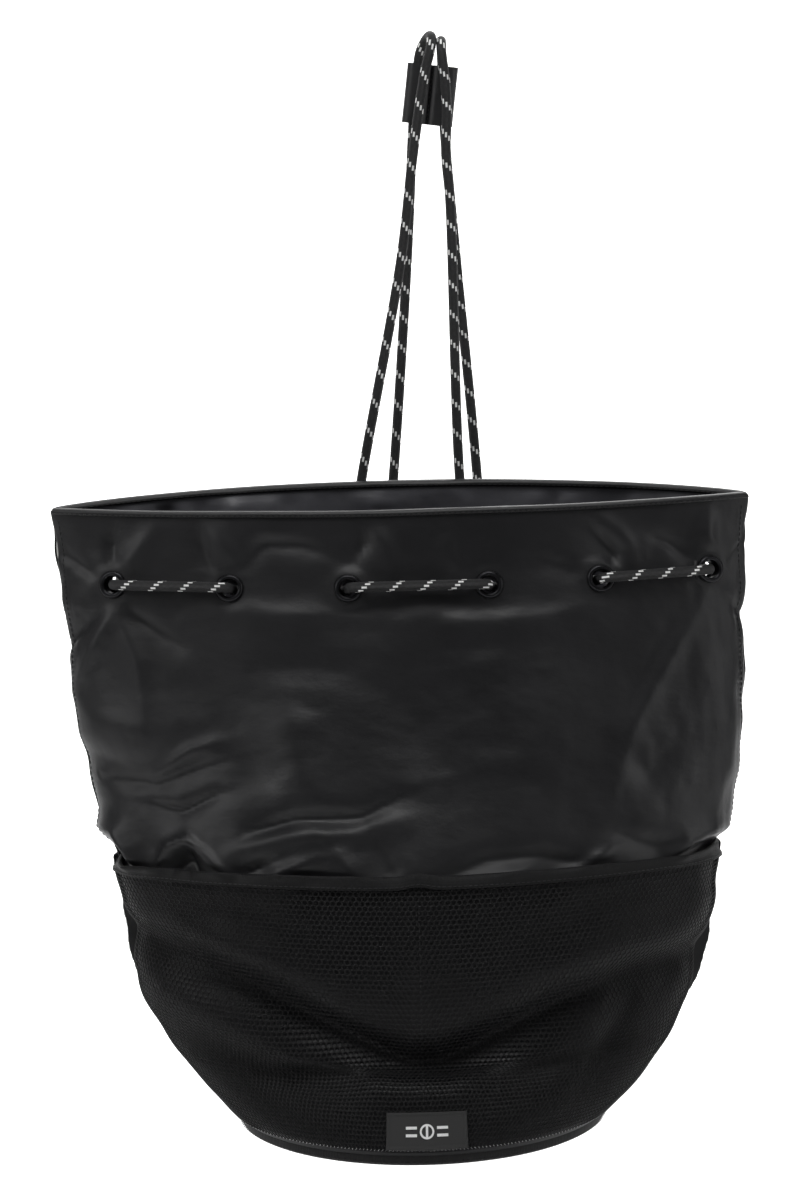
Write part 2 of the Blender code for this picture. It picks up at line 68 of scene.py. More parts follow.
# Level, half width, drop at the seams, front depth and drop, back depth and drop.
LEVELS = np.array((
    (0.000, 0.2049, 0.0000, 0.0301, 0.0075, 0.0301, -0.0125),
    (0.115, 0.2014, 0.0420, 0.0341, 0.0520, 0.0345, 0.0310),
    (0.270, 0.1967, 0.0980, 0.0451, 0.1100, 0.0440, 0.0820),
    (0.400, 0.1906, 0.1460, 0.0571, 0.1600, 0.0560, 0.1265),
    (0.500, 0.1837, 0.1820, 0.0681, 0.1970, 0.0660, 0.1620),
    (0.570, 0.1743, 0.2090, 0.0740, 0.2215, 0.0710, 0.1870),
    (0.680, 0.1698, 0.2430, 0.0790, 0.2610, 0.0755, 0.2255),
    (0.780, 0.1640, 0.2755, 0.0790, 0.2990, 0.0765, 0.2600),
    (0.855, 0.1500, 0.3025, 0.0760, 0.3270, 0.0775, 0.2860),
    (0.920, 0.1345, 0.3250, 0.0890, 0.3430, 0.0880, 0.3110),
    (0.965, 0.1200, 0.3425, 0.0985, 0.3560, 0.0970, 0.3285),
    (1.000, BASE_RADIUS, BASE_DROP, BASE_DEPTH, BASE_DROP + BASE_RISE, BASE_DEPTH, BASE_DROP - BASE_RISE),
))
POCKET_TOP = 0.565
POCKET_GAPE = 0.0075
HOLE = 0.66  # a knitted cell's hole, as a share of the cell's own width
EYELETS = {
    "front": ((-0.169, -0.100, -0.031, 0.051, 0.116, 0.181), 0.115),
    "back": ((-0.169, -0.099, -0.029, 0.041, 0.111, 0.181), 0.128),
}
STARTS = {"front": pi, "back": 0.0}
ANCHOR_SPREAD, ANCHOR_SHIFT = 0.048, 0.004
TAB_SIZE = (0.020, 0.0090, 0.030)
TAB_SOCKET_DEPTH = 0.018
KEEPER_SIZE = (0.031, 0.0355)
KEEPER_PLACE = (0.0001, 0.0134, -0.0300)
KEEPER_TURN = (radians(8.0), radians(6.0), 0.0)
LABEL_ROWS = (0.942, 0.990)

LABEL_HALF = (0.0215, 0.0096)
HEM_DEPTH = 0.0060  # how far the hem reaches down, as a level
CLOTH_SPAN = 0.45  # metres of cloth that one unit of the net map covers

# ---------------------------------------------------------------- the wall


def smooth(low, high, value):
    share = np.clip((value - low) / (high - low), 0.0, 1.0)
    return share * share * (3.0 - 2.0 * share)


def cage(level):
    """The wall's sizes at each level, on the curve through LEVELS."""
    level = np.asarray(level, float)
    last = len(LEVELS) - 2
    k = np.clip(np.searchsorted(LEVELS[:, 0], level, side="left") - 1, 0, last)
    a, b = LEVELS[k], LEVELS[k + 1]
    before, after = LEVELS[np.maximum(k - 1, 0)], LEVELS[np.minimum(k + 2, last + 1)]
    span = b[..., :1] - a[..., :1]
    t = (level[..., None] - a[..., :1]) / span
    slope_a = (b - before)[..., 1:] / (b - before)[..., :1] * span
    slope_b = (after - a)[..., 1:] / (after - a)[..., :1] * span
    curve = (
        a[..., 1:] * (2 * t**3 - 3 * t**2 + 1) + slope_a * (t**3 - 2 * t**2 + t)
        + b[..., 1:] * (3 * t**2 - 2 * t**3) + slope_b * (t**3 - t**2)
    )
    line = a[..., 1:] + (b - a)[..., 1:] * t
    return np.where((t < 0.0) | (t > 1.0), line, curve)


def lining_point(angle, level):
    angle, level = np.broadcast_arrays(np.asarray(angle, float), np.asarray(level, float))
    half, side_drop, front, front_drop, back, back_drop = np.moveaxis(cage(level), -1, 0)
    across, deep = np.cos(angle), np.sin(angle)
    depth = np.where(deep < 0.0, front, back)
    middle_drop = np.where(deep < 0.0, front_drop, back_drop)
    fall = np.abs(deep) ** (1.6 - 0.6 * smooth(0.6, 1.0, level))
    y = depth * np.abs(deep) ** (1.4 - 0.4 * smooth(0.0, 0.8, level)) * np.sign(deep)
    x = BASE_SHIFT * smooth(0.0, 0.6, level) + half * across
    return np.stack((x, y, -(side_drop + (middle_drop - side_drop) * fall)), -1)


def unit(vectors):
    return vectors / np.maximum(np.linalg.norm(vectors, axis=-1, keepdims=True), 1e-12)


def base_matrix(height=0.0):
    place = Matrix.Translation((BASE_SHIFT, 0.0, -BASE_DROP))
    return place @ Matrix.Rotation(BASE_TILT, 4, "X") @ Matrix.Translation((0.0, 0.0, height))


def outward(angle, level):
    step = 0.004
    angle, level = np.broadcast_arrays(np.asarray(angle, float), np.asarray(level, float))
    around = lining_point(angle + step, level) - lining_point(angle - step, level)
    down = lining_point(angle, np.minimum(level + step, 1.0)) - lining_point(angle, np.maximum(level - step, 0.0))
    normal = unit(np.cross(down, around))
    flat = np.stack((np.cos(angle), np.sin(angle), np.zeros_like(angle)), -1)
    normal *= np.where((normal * flat).sum(-1, keepdims=True) < 0.0, -1.0, 1.0)
    radial = unit(flat @ np.array(base_matrix().to_3x3()).T)
    share = smooth(0.90, 1.0, level)[..., None]
    return unit(normal * (1.0 - share) + radial * share)


BAG_TO_WORLD = Matrix.Translation(MOUTH_CENTRE) @ Matrix.Rotation(LEAN, 4, "Y")


def to_world(points):
    turn = np.array(BAG_TO_WORLD)
    return points @ turn[:3, :3].T + turn[:3, 3]


def pocket_stand(angle, level):
    """How far the mesh's inner face stands off the wall's inner face."""
    mouth = np.abs(np.sin(2.0 * angle)) ** 1.3
    return WALL + 0.0005 + POCKET_GAPE * mouth * (1.0 - smooth(POCKET_TOP, 0.86, level))


# ---------------------------------------------------------------- folds and wrinkles

# Each fold: height in mm (a valley is negative), how wide it is on its left and on its right side as
# one goes along it, how sharp its crest is, and its line as (across, down) in mm from the peg.
FRONT_FOLDS = (
    # puckers at the two outer eyelets
    (-2.6, 3, 7, 1.3, ((-193, -341), (-208, -356), (-222, -376))),
    (2.4, 5, 5, 1.6, ((-187, -345), (-197, -364), (-208, -388))),
    (-3.0, 4, 6, 1.3, ((-176, -342), (-164, -351), (-146, -363))),
    (2.2, 5, 8, 1.6, ((-182, -346), (-170, -372), (-166, -404))),
    (-2.4, 3, 5, 1.3, ((-187, -319), (-188, -303), (-184, -288))),
    (2.0, 5, 7, 1.6, ((-180, -318), (-170, -303), (-160, -290))),
    (-1.8, 3, 6, 1.4, ((-197, -322), (-210, -312), (-221, -306))),
    (-2.8, 3, 6, 1.3, ((174, -333), (186, -346), (192, -362))),
    (-2.2, 3, 5, 1.3, ((176, -312), (184, -300), (187, -284))),
    (2.0, 5, 5, 1.6, ((166, -309), (162, -296), (164, -280))),
    (-2.4, 3, 6, 1.3, ((152, -312), (140, -302), (128, -297))),
    # the long bright ridge down from the last eyelet
    (1.7, 5, 15, 1.4, ((162, -332), (148, -356), (131, -385), (116, -412), (111, -436))),
    (-0.9, 6, 10, 1.7, ((154, -330), (136, -358), (119, -388), (104, -420))),
    # round the middle eyelets and up to the rim
    (-3.2, 3, 8, 1.2, ((-135, -286), (-133, -302), (-128, -318))),
    (2.4, 5, 12, 1.6, ((-124, -286), (-122, -300), (-112, -314))),
    (-2.4, 5, 6, 1.5, ((-110, -316), (-96, -302), (-76, -303), (-62, -308))),
    (-3.0, 4, 5, 1.2, ((-42, -288), (-40, -302), (-48, -318))),
    (2.2, 5, 8, 1.6, ((-34, -290), (-26, -304), (-22, -318))),
    (-2.0, 4, 7, 1.4, ((14, -290), (10, -305), (16, -320))),
    (-4.6, 3, 11, 1.1, ((88, -283), (98, -296), (108, -308), (106, -319))),
    (2.6, 4, 9, 1.5, ((96, -281), (108, -292), (118, -306))),
    (-1.8, 5, 8, 1.7, ((60, -308), (76, -316), (88, -322))),
    # the channel's lower edge, where the cloth hangs from the eyelets
    (2.2, 7, 12, 1.8, ((-120, -341), (-88, -346), (-52, -345))),
    (1.8, 7, 12, 1.8, ((-30, -346), (20, -350), (70, -346), (92, -340))),
    # soft hollows of the wadding
    (-1.8, 7, 11, 1.8, ((-98, -377), (-70, -374), (-44, -380))),
    (-2.4, 16, 18, 1.8, ((-148, -372), (-122, -400), (-104, -428), (-96, -446))),
    (2.6, 12, 16, 1.8, ((-200, -402), (-170, -412), (-140, -404))),
    (-2.0, 8, 12, 1.7, ((-212, -420), (-176, -434), (-150, -428))),
    (3.0, 14, 18, 1.8, ((-82, -392), (-76, -424), (-66, -452), (-74, -470))),
    (-3.0, 22, 22, 2.0, ((-30, -372), (-8, -406), (0, -440))),
    (2.2, 20, 24, 2.0, ((62, -372), (70, -408), (62, -444))),
    (-1.8, 8, 10, 1.8, ((112, -424), (126, -436), (142, -420))),
    (2.0, 10, 16, 1.8, ((168, -380), (172, -420), (166, -462))),
    # creases low on the left
    (-3.2, 4, 9, 1.2, ((-186, -440), (-160, -442), (-136, -432), (-118, -428))),
    (3.0, 4, 7, 1.2, ((-160, -438), (-138, -424), (-124, -418))),
    (-3.4, 3, 7, 1.1, ((-164, -454), (-146, -458), (-122, -447))),
    (-3.8, 4, 8, 1.2, ((-104, -470), (-78, -462), (-40, -460), (-16, -448))),
    (2.6, 5, 8, 1.5, ((-112, -480), (-82, -472), (-46, -470), (-22, -462))),
    (4.4, 3, 9, 1.1, ((-158, -496), (-150, -478), (-140, -474), (-128, -482), (-112, -498))),
    (-5.2, 5, 6, 1.3, ((-148, -508), (-144, -492), (-139, -484), (-134, -494), (-130, -508))),
    (-3.0, 3, 7, 1.2, ((-114, -506), (-104, -492), (-92, -486))),
    (3.0, 4, 9, 1.2, ((-98, -504), (-84, -492), (-64, -484))),
    (-3.4, 4, 7, 1.2, ((-84, -508), (-66, -497), (-54, -500))),
    (2.4, 5, 9, 1.4, ((-62, -470), (-46, -490), (-40, -506))),
    (-2.2, 5, 10, 1.5, ((-34, -470), (-22, -490), (-18, -506))),
    # creases low on the right
    (-3.0, 5, 9, 1.4, ((6, -496), (30, -484), (62, -482), (88, -488), (108, -500))),
    (3.0, 4, 8, 1.3, ((22, -504), (42, -494), (60, -488))),
    (3.4, 4, 9, 1.3, ((66, -506), (78, -494), (94, -484), (104, -478))),
    (-2.4, 6, 9, 1.5, ((104, -470), (130, -478), (152, -474))),
    (-3.2, 5, 8, 1.3, ((112, -506), (126, -496), (140, -494))),
    # the wall bulges over the band at both ends, with a dark gap under each bulge
    (5.2, 5, 6, 1.2, ((-192, -466), (-180, -470), (-172, -480), (-166, -494), (-164, -503))),
    (-6.5, 6, 5, 1.4, ((-196, -484), (-184, -488), (-178, -498))),
    (5.2, 5, 6, 1.2, ((172, -466), (160, -470), (148, -476), (138, -484), (130, -494))),
    (-6.0, 5, 6, 1.4, ((174, -480), (160, -482), (148, -490))),
)
# folds of the net and of the cloth under it
LOW_FOLDS = (
    (-13.0, 11, 19, 1.6, ((-186, -524), (-160, -533), (-128, -546), (-92, -562), (-52, -583), (-14, -600),
                        (6, -600), (34, -586), (74, -566), (116, -549), (152, -541), (176, -534))),
    (8.5, 18, 13, 2.0, ((-150, -560), (-112, -574), (-72, -592), (-30, -612), (10, -612), (50, -596), (96, -572))),
    (3.0, 14, 14, 2.0, ((-96, -606), (-62, -596), (-30, -598), (0, -608), (30, -622))),
    (-3.6, 9, 9, 1.8, ((-104, -612), (-66, -606), (-34, -610))),
    (-9.0, 14, 14, 1.6, ((-206, -606), (-172, -614), (-142, -632), (-112, -650))),
    (-2.5, 12, 14, 2.0, ((-150, -512), (-110, -518), (-78, -528))),
    (3.0, 13, 15, 2.0, ((-140, -528), (-96, -540), (-58, -560))),
    (2.8, 13, 15, 2.0, ((150, -524), (104, -534), (58, -556))),
    (-2.2, 12, 12, 2.0, ((130, -508), (96, -514), (60, -528))),
    (2.2, 10, 12, 1.8, ((-12, -514), (-10, -545), (-8, -575))),
    (2.6, 12, 14, 2.0, ((94, -600), (70, -618), (40, -634))),
    (-3.0, 7, 9, 1.6, ((120, -560), (104, -584), (92, -604))),
)
BACK_FOLDS = (
    (-2.6, 3, 7, 1.3, ((-193, -336), (-206, -352), (-218, -372))),
    (2.4, 5, 8, 1.6, ((-182, -340), (-176, -368), (-168, -398))),
    (-2.8, 4, 6, 1.3, ((-120, -298), (-122, -286), (-118, -274))),
    (3.6, 4, 12, 1.2, ((-46, -330), (-62, -358), (-84, -392), (-98, -424))),
    (3.6, 12, 4, 1.2, ((24, -328), (44, -360), (60, -394), (74, -428))),
    (-3.0, 9, 9, 1.6, ((-36, -328), (-30, -360), (-26, -398))),
    (-2.6, 9, 9, 1.6, ((12, -328), (10, -362), (6, -400))),
    (-2.8, 3, 7, 1.3, ((172, -328), (184, -344), (192, -362))),
    (2.4, 8, 5, 1.6, ((160, -334), (154, -366), (148, -396))),
    (-3.4, 4, 9, 1.3, ((-170, -424), (-138, -432), (-110, -424))),
    (-3.2, 4, 9, 1.3, ((140, -420), (112, -430), (84, -422))),
    (3.4, 4, 9, 1.2, ((-130, -462), (-104, -448), (-72, -446), (-40, -456))),
    (-3.4, 4, 8, 1.3, ((-60, -470), (-20, -462), (24, -464), (60, -472))),
    (3.2, 4, 9, 1.2, ((128, -462), (98, -450), (66, -448))),
)
BACK_LOW_FOLDS = (
    (-6.0, 10, 13, 1.7, ((-170, -500), (-120, -520), (-64, -534), (0, -540), (60, -532), (112, -516), (158, -498))),
    (4.6, 14, 12, 2.0, ((-120, -540), (-60, -556), (0, -560), (58, -554), (108, -538))),
    (2.4, 12, 13, 2.0, ((-130, -490), (-88, -500), (-40, -508))),
    (2.4, 12, 13, 2.0, ((124, -488), (84, -498), (40, -506))),
)


def fold_heights(across, down, folds):
    """Sum of the folds at points given in mm, each fading towards both its ends."""
    total = np.zeros_like(across)
    for height, left, right, crest, line in folds:
        nearest = np.full(across.shape, 1e9)
        side, along = np.zeros_like(across), np.zeros_like(across)
        for k, ((ax, az), (bx, bz)) in enumerate(zip(line, line[1:])):
            dx, dz = bx - ax, bz - az
            t = np.clip(((across - ax) * dx + (down - az) * dz) / (dx * dx + dz * dz), 0.0, 1.0)
            px, pz = across - ax - t * dx, down - az - t * dz
            distance = np.hypot(px, pz)
            closer = distance < nearest
            nearest = np.where(closer, distance, nearest)
            side = np.where(closer, dx * pz - dz * px, side)
            along = np.where(closer, (k + t) / (len(line) - 1), along)
        width = np.where(side > 0.0, left, right)
        total += height * np.exp(-((nearest / width) ** crest)) * np.sin(pi * (0.08 + 0.84 * along)) ** 0.7
    return total


def rumple(across, down, size, seed):
    """Soft random swells, about -1 to 1, with bumps of about the given size in mm."""
    table = np.random.default_rng(seed).standard_normal((97, 97))
    u, v = across / size + 40.0, down / size + 60.0
    i, j = np.floor(u).astype(int), np.floor(v).astype(int)
    s, t = u - i, v - j
    s, t = s**3 * (s * (6 * s - 15) + 10), t**3 * (t * (6 * t - 15) + 10)
    pick = lambda a, b: table[a % 97, b % 97]
    top = pick(i, j) * (1 - s) + pick(i + 1, j) * s
    low = pick(i, j + 1) * (1 - s) + pick(i + 1, j + 1) * s
    return (top * (1 - t) + low * t) * 0.8


def creases(across, down, size, seed):
    """Thin random crease lines, 0 to 1, where two swells meet."""
    bend = rumple(across, down, size * 1.7, seed + 50) * size * 0.6
    return np.exp(-np.abs(rumple(across + bend, down - bend, size, seed)) * 7.0)


def wall_lift(angle, level, layer):
    """How far the cloth stands in or out of the plain wall, in metres."""
    plain = to_world(lining_point(angle, np.clip(level, 0.0, 1.0))) * 1000.0
    across, down = plain[..., 0], plain[..., 2]
    deep = np.abs(np.sin(angle))
    is_front = np.sin(angle) < 0.0
    high = 1.0 - smooth(0.545, 0.585, level)
    bold = 1.30 + 0.55 * smooth(-40.0, -110.0, across) * smooth(-400.0, -450.0, down)
    front = fold_heights(across, down, FRONT_FOLDS) * high * bold + fold_heights(
        across, down, LOW_FOLDS) * 1.25 * smooth(0.50, 0.62, level)
    back = fold_heights(across, down, BACK_FOLDS) * high + fold_heights(across, down, BACK_LOW_FOLDS) * smooth(
        0.50, 0.62, level)
    round_it = np.where(is_front, 1.0, -1.0) * across + 240.0 * (angle - pi) * (1.0 - deep) * 0.4
    lift = np.where(is_front, front, back)
    swell = np.where(is_front, rumple(round_it, down, 42.0, 11), rumple(round_it, down, 42.0, 12))
    ripple = np.where(is_front, rumple(round_it, down * 1.5, 17.0, 13), rumple(round_it, down * 1.5, 17.0, 14))
    fine = creases(round_it, down * 1.3, 21.0, 15) * 0.9 + creases(round_it * 1.2, down, 11.0, 16) * 0.4
    calm = 1.0 - 0.75 * smooth(0.56, 0.62, level)
    still = np.where(is_front, 1.0 - 0.6 * smooth(40.0, 110.0, across), 1.0)
    lift = lift + (swell * 1.1 + ripple * 0.30 - fine * 0.35) * calm * still
    # the back's top edge is slack, which creases the lining that shows between the rims
    slack = np.where(is_front, 0.0, smooth(0.006, 0.03, level) * (1.0 - smooth(0.10, 0.22, level)))
    wrinkles = rumple(across * 1.6, down * 0.5, 17.0, 21) * 1.7 - creases(across, down * 0.6, 15.0, 22) * 1.3
    lift = lift + slack * wrinkles
    # gathers along the side seams
    near_seam = np.exp(-((deep / 0.30) ** 2))
    lift = lift - near_seam * 1.0 * (1.0 - smooth(0.0, 0.05, -level)) * (0.55 - 0.45 * np.cos(2 * pi * level * 13.6))
    # the rim and the base seam are held flat
    held = smooth(-0.01, np.where(is_front, 0.055, 0.02), level) * (1.0 - smooth(0.955, 0.995, level))
    if layer == "net":
        held = 1.0 - smooth(0.955, 0.995, level)
    for side, (places, row) in EYELETS.items():
        for x in places:
            centre = eyelet_frame(side, x).translation
            here = lining_point(angle, level)
            gap = np.linalg.norm(here - np.array(centre), axis=-1) * 1000.0
            held = held * smooth(8.5, 15.0, gap)
    rim_wave = 0.0016 * np.sin(across / 21.0 + 0.6) * (1.0 - smooth(0.0, 0.09, level)) * deep
    return lift * 0.001 * held + rim_wave


def skin(angle, level, offset, layer="wall"):
    """Points in world metres at an offset from the wall's inner face, folds included."""
    angle, level = np.broadcast_arrays(np.asarray(angle, float), np.asarray(level, float))
    points = lining_point(angle, level)
    lift = wall_lift(angle, level, layer)
    return to_world(points + outward(angle, np.clip(level, 0.0, 1.0)) * (np.asarray(offset) + lift)[..., None])


def eyelet_frame(side, x):
    """Frame on the wall's inner face at an eyelet: +Z outward, +X along the wall to the right."""
    level = EYELETS[side][1]
    return wall_frame(x, level, side)


def wall_frame(x, level, side):
    half = float(cage(level)[0])
    shift = BASE_SHIFT * float(smooth(0.0, 0.6, level))
    angle = float(np.arccos((x - shift) / half))
    if side == "front":
        angle = 2.0 * pi - angle
    normal = Vector(outward(angle, level))
    along = Vector(lining_point(angle + 0.01, level) - lining_point(angle - 0.01, level))
    along = along if along.x > 0.0 else -along
    along = (along - normal * along.dot(normal)).normalized()
    up = along.cross(normal)
    up = up if up.z > 0.0 else -up
    made = Matrix((along, up, normal)).transposed().to_4x4()
    made.translation = Vector(lining_point(angle, level))
    return made


# ---------------------------------------------------------------- mesh helpers

ALL = bpy.data.collections.new("ball_bag_looks")
bpy.context.scene.collection.children.link(ALL)


def put(name, mesh, finish, body="bag", stands_for=()):
    """Put a finished mesh in the scene as a piece of the bag."""
    piece = bpy.data.objects.new(name, mesh)
    ALL.objects.link(piece)
    if finish is not None and finish.name not in mesh.materials:
        mesh.materials.append(finish)
    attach(piece, body)
    if stands_for:
        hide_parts(*stands_for)
    return piece


def faceted(name, points, faces, maps=None, smooth_shade=True):
    """A mesh from points and faces, its normals turned out, with maps of one UV per point."""
    mesh = bpy.data.meshes.new(name)
    mesh.from_pydata([tuple(p) for p in points], [], [tuple(f) for f in faces])
    for key, values in (maps or {}).items():
        layer = mesh.uv_layers.new(name=key)
        corners = np.empty(len(mesh.loops), dtype=np.int32)
        mesh.loops.foreach_get("vertex_index", corners)
        layer.data.foreach_set("uv", np.asarray(values, float)[corners].astype(np.float32).ravel())
    bm = bmesh.new()
    bm.from_mesh(mesh)
    bmesh.ops.recalc_face_normals(bm, faces=bm.faces)
    bm.to_mesh(mesh)
    bm.free()
    if smooth_shade:
        mesh.shade_smooth()
    return mesh


def sheet_mesh(name, near, far, cloth, keep=None):
    """A closed sheet between two grids of points, open only where keep is False."""
    rows, columns = near.shape[:2]
    if keep is None:
        keep = np.ones((rows - 1, columns - 1), bool)
    index = np.arange(rows * columns).reshape(rows, columns)
    under = index + rows * columns
    corner = lambda grid: np.stack((grid[:-1, :-1], grid[:-1, 1:], grid[1:, 1:], grid[1:, :-1]), -1)
    faces = [corner(index)[keep], corner(under)[keep][:, ::-1]]
    framed = np.pad(keep, 1)
    for shift, (a, b) in (((0, 1), (0, 1)), ((2, 1), (3, 2)), ((1, 0), (0, 3)), ((1, 2), (1, 2))):
        beside = framed[shift[0]:shift[0] + rows - 1, shift[1]:shift[1] + columns - 1]
        edge = keep & ~beside
        top, low = corner(index)[edge], corner(under)[edge]
        faces.append(np.stack((top[:, a], top[:, b], low[:, b], low[:, a]), -1))
    points = np.concatenate((far.reshape(-1, 3), near.reshape(-1, 3)))
    used = np.unique(np.concatenate([f.ravel() for f in faces]))
    renumber = np.full(len(points), -1)
    renumber[used] = np.arange(len(used))
    faces = [renumber[f] for f in faces if len(f)]
    maps = {"cloth": np.concatenate((cloth.reshape(-1, 2), cloth.reshape(-1, 2)))[used]}
    return faceted(name, points[used], np.concatenate(faces).tolist(), maps)


def swept(name, rings, closed_ring=True, maps=None):
    """A closed body from rings of points: rings is (steps, count, 3)."""
    rings = np.asarray(rings)
    steps, count = rings.shape[:2]
    index = np.arange(steps * count).reshape(steps, count)
    after = np.roll(index, -1, axis=1)
    faces = np.stack((index[:-1], after[:-1], after[1:], index[1:]), -1).reshape(-1, 4).tolist()
    faces += [index[0].tolist(), index[-1].tolist()[::-1]]
    return faceted(name, rings.reshape(-1, 3), faces, maps)


def turned(profile, steps):
    """Points and faces of a closed profile of (radius, height) turned round +Z."""
    turn = 2.0 * pi * np.arange(steps) / steps
    profile = np.asarray(profile)
    points = np.stack((
        np.cos(turn)[:, None] * profile[:, 0], np.sin(turn)[:, None] * profile[:, 0],
        np.broadcast_to(profile[:, 1], (steps, len(profile))),
    ), -1)
    index = np.arange(steps * len(profile)).reshape(steps, len(profile))
    side, up = np.roll(index, -1, axis=0), np.roll(index, -1, axis=1)
    faces = np.stack((index, side, np.roll(side, -1, axis=1), up), -1).reshape(-1, 4)
    return points.reshape(-1, 3), faces.tolist()


def panel_grid(side, rows, columns, edge=0.0):
    """Angles and levels of a panel's grid, and its cloth map in metres."""
    level, column = np.meshgrid(rows, np.linspace(0.0, 1.0, columns), indexing="ij")
    depth = cage(level)[..., 2]
    ease = (max(edge, 0.0002) / depth) ** (1.0 / (1.4 - 0.4 * smooth(0.0, 0.8, level)))
    angle = STARTS[side] + ease + (pi - 2.0 * ease) * column
    cloth = np.stack((column * 0.43, level * 0.385), -1)
    return angle, level, cloth


def open_eyelets(side, angle, level):
    """Warp a panel's grid into rings round its eyelets. Returns the grid and which cells stay."""
    rings = {2: (0.0064, 1.0), 3: (0.0090, 0.8), 4: (0.0116, 0.4), 5: (0.0, 0.12)}
    keep = np.ones((angle.shape[0] - 1, angle.shape[1] - 1), bool)
    angle, level = angle.copy(), level.copy()
    row_level = EYELETS[side][1]
    for x in EYELETS[side][0]:
        centre = Vector(eyelet_frame(side, x).translation)
        half, shift = float(cage(row_level)[0]), BASE_SHIFT * float(smooth(0.0, 0.6, row_level))
        turn = float(np.arccos((x - shift) / half))
        turn = 2.0 * pi - turn if side == "front" else turn
        per_turn = np.linalg.norm(lining_point(turn + 0.01, row_level) - lining_point(turn - 0.01, row_level)) / 0.02
        per_level = np.linalg.norm(lining_point(turn, row_level + 0.01) - lining_point(turn, row_level - 0.01)) / 0.02
        across = (angle - turn) * per_turn
        down = (level - row_level) * per_level
        r0, c0 = np.unravel_index(np.argmin(across**2 + down**2), across.shape)
        for r in range(r0 - 5, r0 + 6):
            for c in range(c0 - 5, c0 + 6):
                ring = max(abs(r - r0), abs(c - c0))
                if ring < 2:
                    continue
                a, d = across[r, c], down[r, c]
                ax, dx = (c - c0), (r - r0)
                reach, share = rings[ring]
                spread = sqrt(ax * ax + dx * dx)
                direction = np.sign(angle[r0, c0 + 1] - angle[r0, c0])
                target = (ax / spread * direction * reach, dx / spread * reach)
                if ring == 5:
                    continue
                a = a * (1 - share) + target[0] * share
                d = d * (1 - share) + target[1] * share
                angle[r, c] = turn + a / per_turn
                level[r, c] = row_level + d / per_level
        keep[r0 - 2:r0 + 2, c0 - 2:c0 + 2] = False
    return angle, level, keep


# ---------------------------------------------------------------- finishes


class Value:
    """A number that varies over a surface, so that shader maths reads as plain sums."""

    def __init__(self, finish, socket):
        self.finish, self.socket = finish, socket

    def _maths(self, operation, *values):
        return self.finish.node("ShaderNodeMath", {"operation": operation}, *values)

    def __add__(self, other):
        return self._maths("ADD", self, other)

    def __radd__(self, other):
        return self._maths("ADD", other, self)

    def __sub__(self, other):
        return self._maths("SUBTRACT", self, other)

    def __rsub__(self, other):
        return self._maths("SUBTRACT", other, self)

    def __mul__(self, other):
        return self._maths("MULTIPLY", self, other)

    def __rmul__(self, other):
        return self._maths("MULTIPLY", other, self)

    def __truediv__(self, other):
        return self._maths("DIVIDE", self, other)

    def __abs__(self):
        return self._maths("ABSOLUTE", self)

    def fraction(self):
        return self._maths("FRACT", self)

    def whole(self):
        return self._maths("FLOOR", self)

    def sine(self):
        return self._maths("SINE", self)

    def between(self, low, high):
        """0 at low and 1 at high, with an easy change between."""
        settings = {"interpolation_type": "SMOOTHSTEP"}
        return self.finish.node("ShaderNodeMapRange", settings, self, low, high)


class Nodes:
    """A node tree, and the one method that adds nodes to it."""

    def __init__(self, tree):
        self.tree = tree

    def node(self, kind, settings, *values, output=0, at=None, **named):
        """Add a node: its settings first, then the values or links of its sockets.

        Sockets are given in order, by name, or by number in at where names repeat.
        """
        made = self.tree.nodes.new(kind)
        for key, value in settings.items():
            setattr(made, key, value)
        pairs = list(enumerate(values)) + list((at or {}).items())
        pairs += [(key.replace("_", " "), value) for key, value in named.items()]
        for key, value in pairs:
            if isinstance(value, Value):
                self.tree.links.new(value.socket, made.inputs[key])
            else:
                made.inputs[key].default_value = value
        return Value(self, made.outputs[output])


class Finish(Nodes):
    """A material being built round one Principled shader."""

    def __init__(self, name, colour, roughness, metallic=0.0, **fixed):
        self.material = bpy.data.materials.new(name)
        self.material.use_nodes = True
        super().__init__(self.material.node_tree)
        self.shader = self.tree.nodes["Principled BSDF"]
        self.colour = (*colour, 1.0)
        self.set("Base Color", self.colour)
        self.set("Roughness", roughness)
        self.set("Metallic", metallic)
        for key, value in fixed.items():
            self.set(key.replace("_", " ").title().replace("Ior", "IOR"), value)

    def set(self, name, value):
        if isinstance(value, Value):
            self.tree.links.new(value.socket, self.shader.inputs[name])
        else:
            self.shader.inputs[name].default_value = value

    def place(self):
        return self.node("ShaderNodeTexCoord", {}, output="Object")

    def uv(self, name):
        return self.node("ShaderNodeUVMap", {"uv_map": name})

    def split(self, vector):
        first = self.node("ShaderNodeSeparateXYZ", {}, vector)
        return [Value(self, socket) for socket in first.socket.node.outputs]

    def stretch(self, vector, scale):
        return self.node("ShaderNodeVectorMath", {"operation": "MULTIPLY"}, vector, scale)

    def noise(self, vector, scale, detail=3.0, rough=0.55):
        return self.node("ShaderNodeTexNoise", {}, Vector=vector, Scale=scale, Detail=detail, Roughness=rough)

    def cells(self, vector, scale, feature="F1"):
        return self.node("ShaderNodeTexVoronoi", {"feature": feature}, Vector=vector, Scale=scale)

    def blend(self, share, first, second):
        """Mix two colours; a Mix node's colours are its sockets 6 and 7, and its output 2."""
        opaque = lambda colour: colour if isinstance(colour, Value) else (*colour[:3], 1.0)
        colours = {6: opaque(first), 7: opaque(second)}
        return self.node("ShaderNodeMix", {"data_type": "RGBA"}, share, output=2, at=colours)

    def bump(self, height, distance, strength=1.0, under=None):
        """Raise the surface by height times distance, over an earlier bump if there is one."""
        named = {"Height": height, "Distance": distance, "Strength": strength}
        if under is not None:
            named["Normal"] = under
        made = self.node("ShaderNodeBump", {}, **named)
        self.set("Normal", made)
        return made


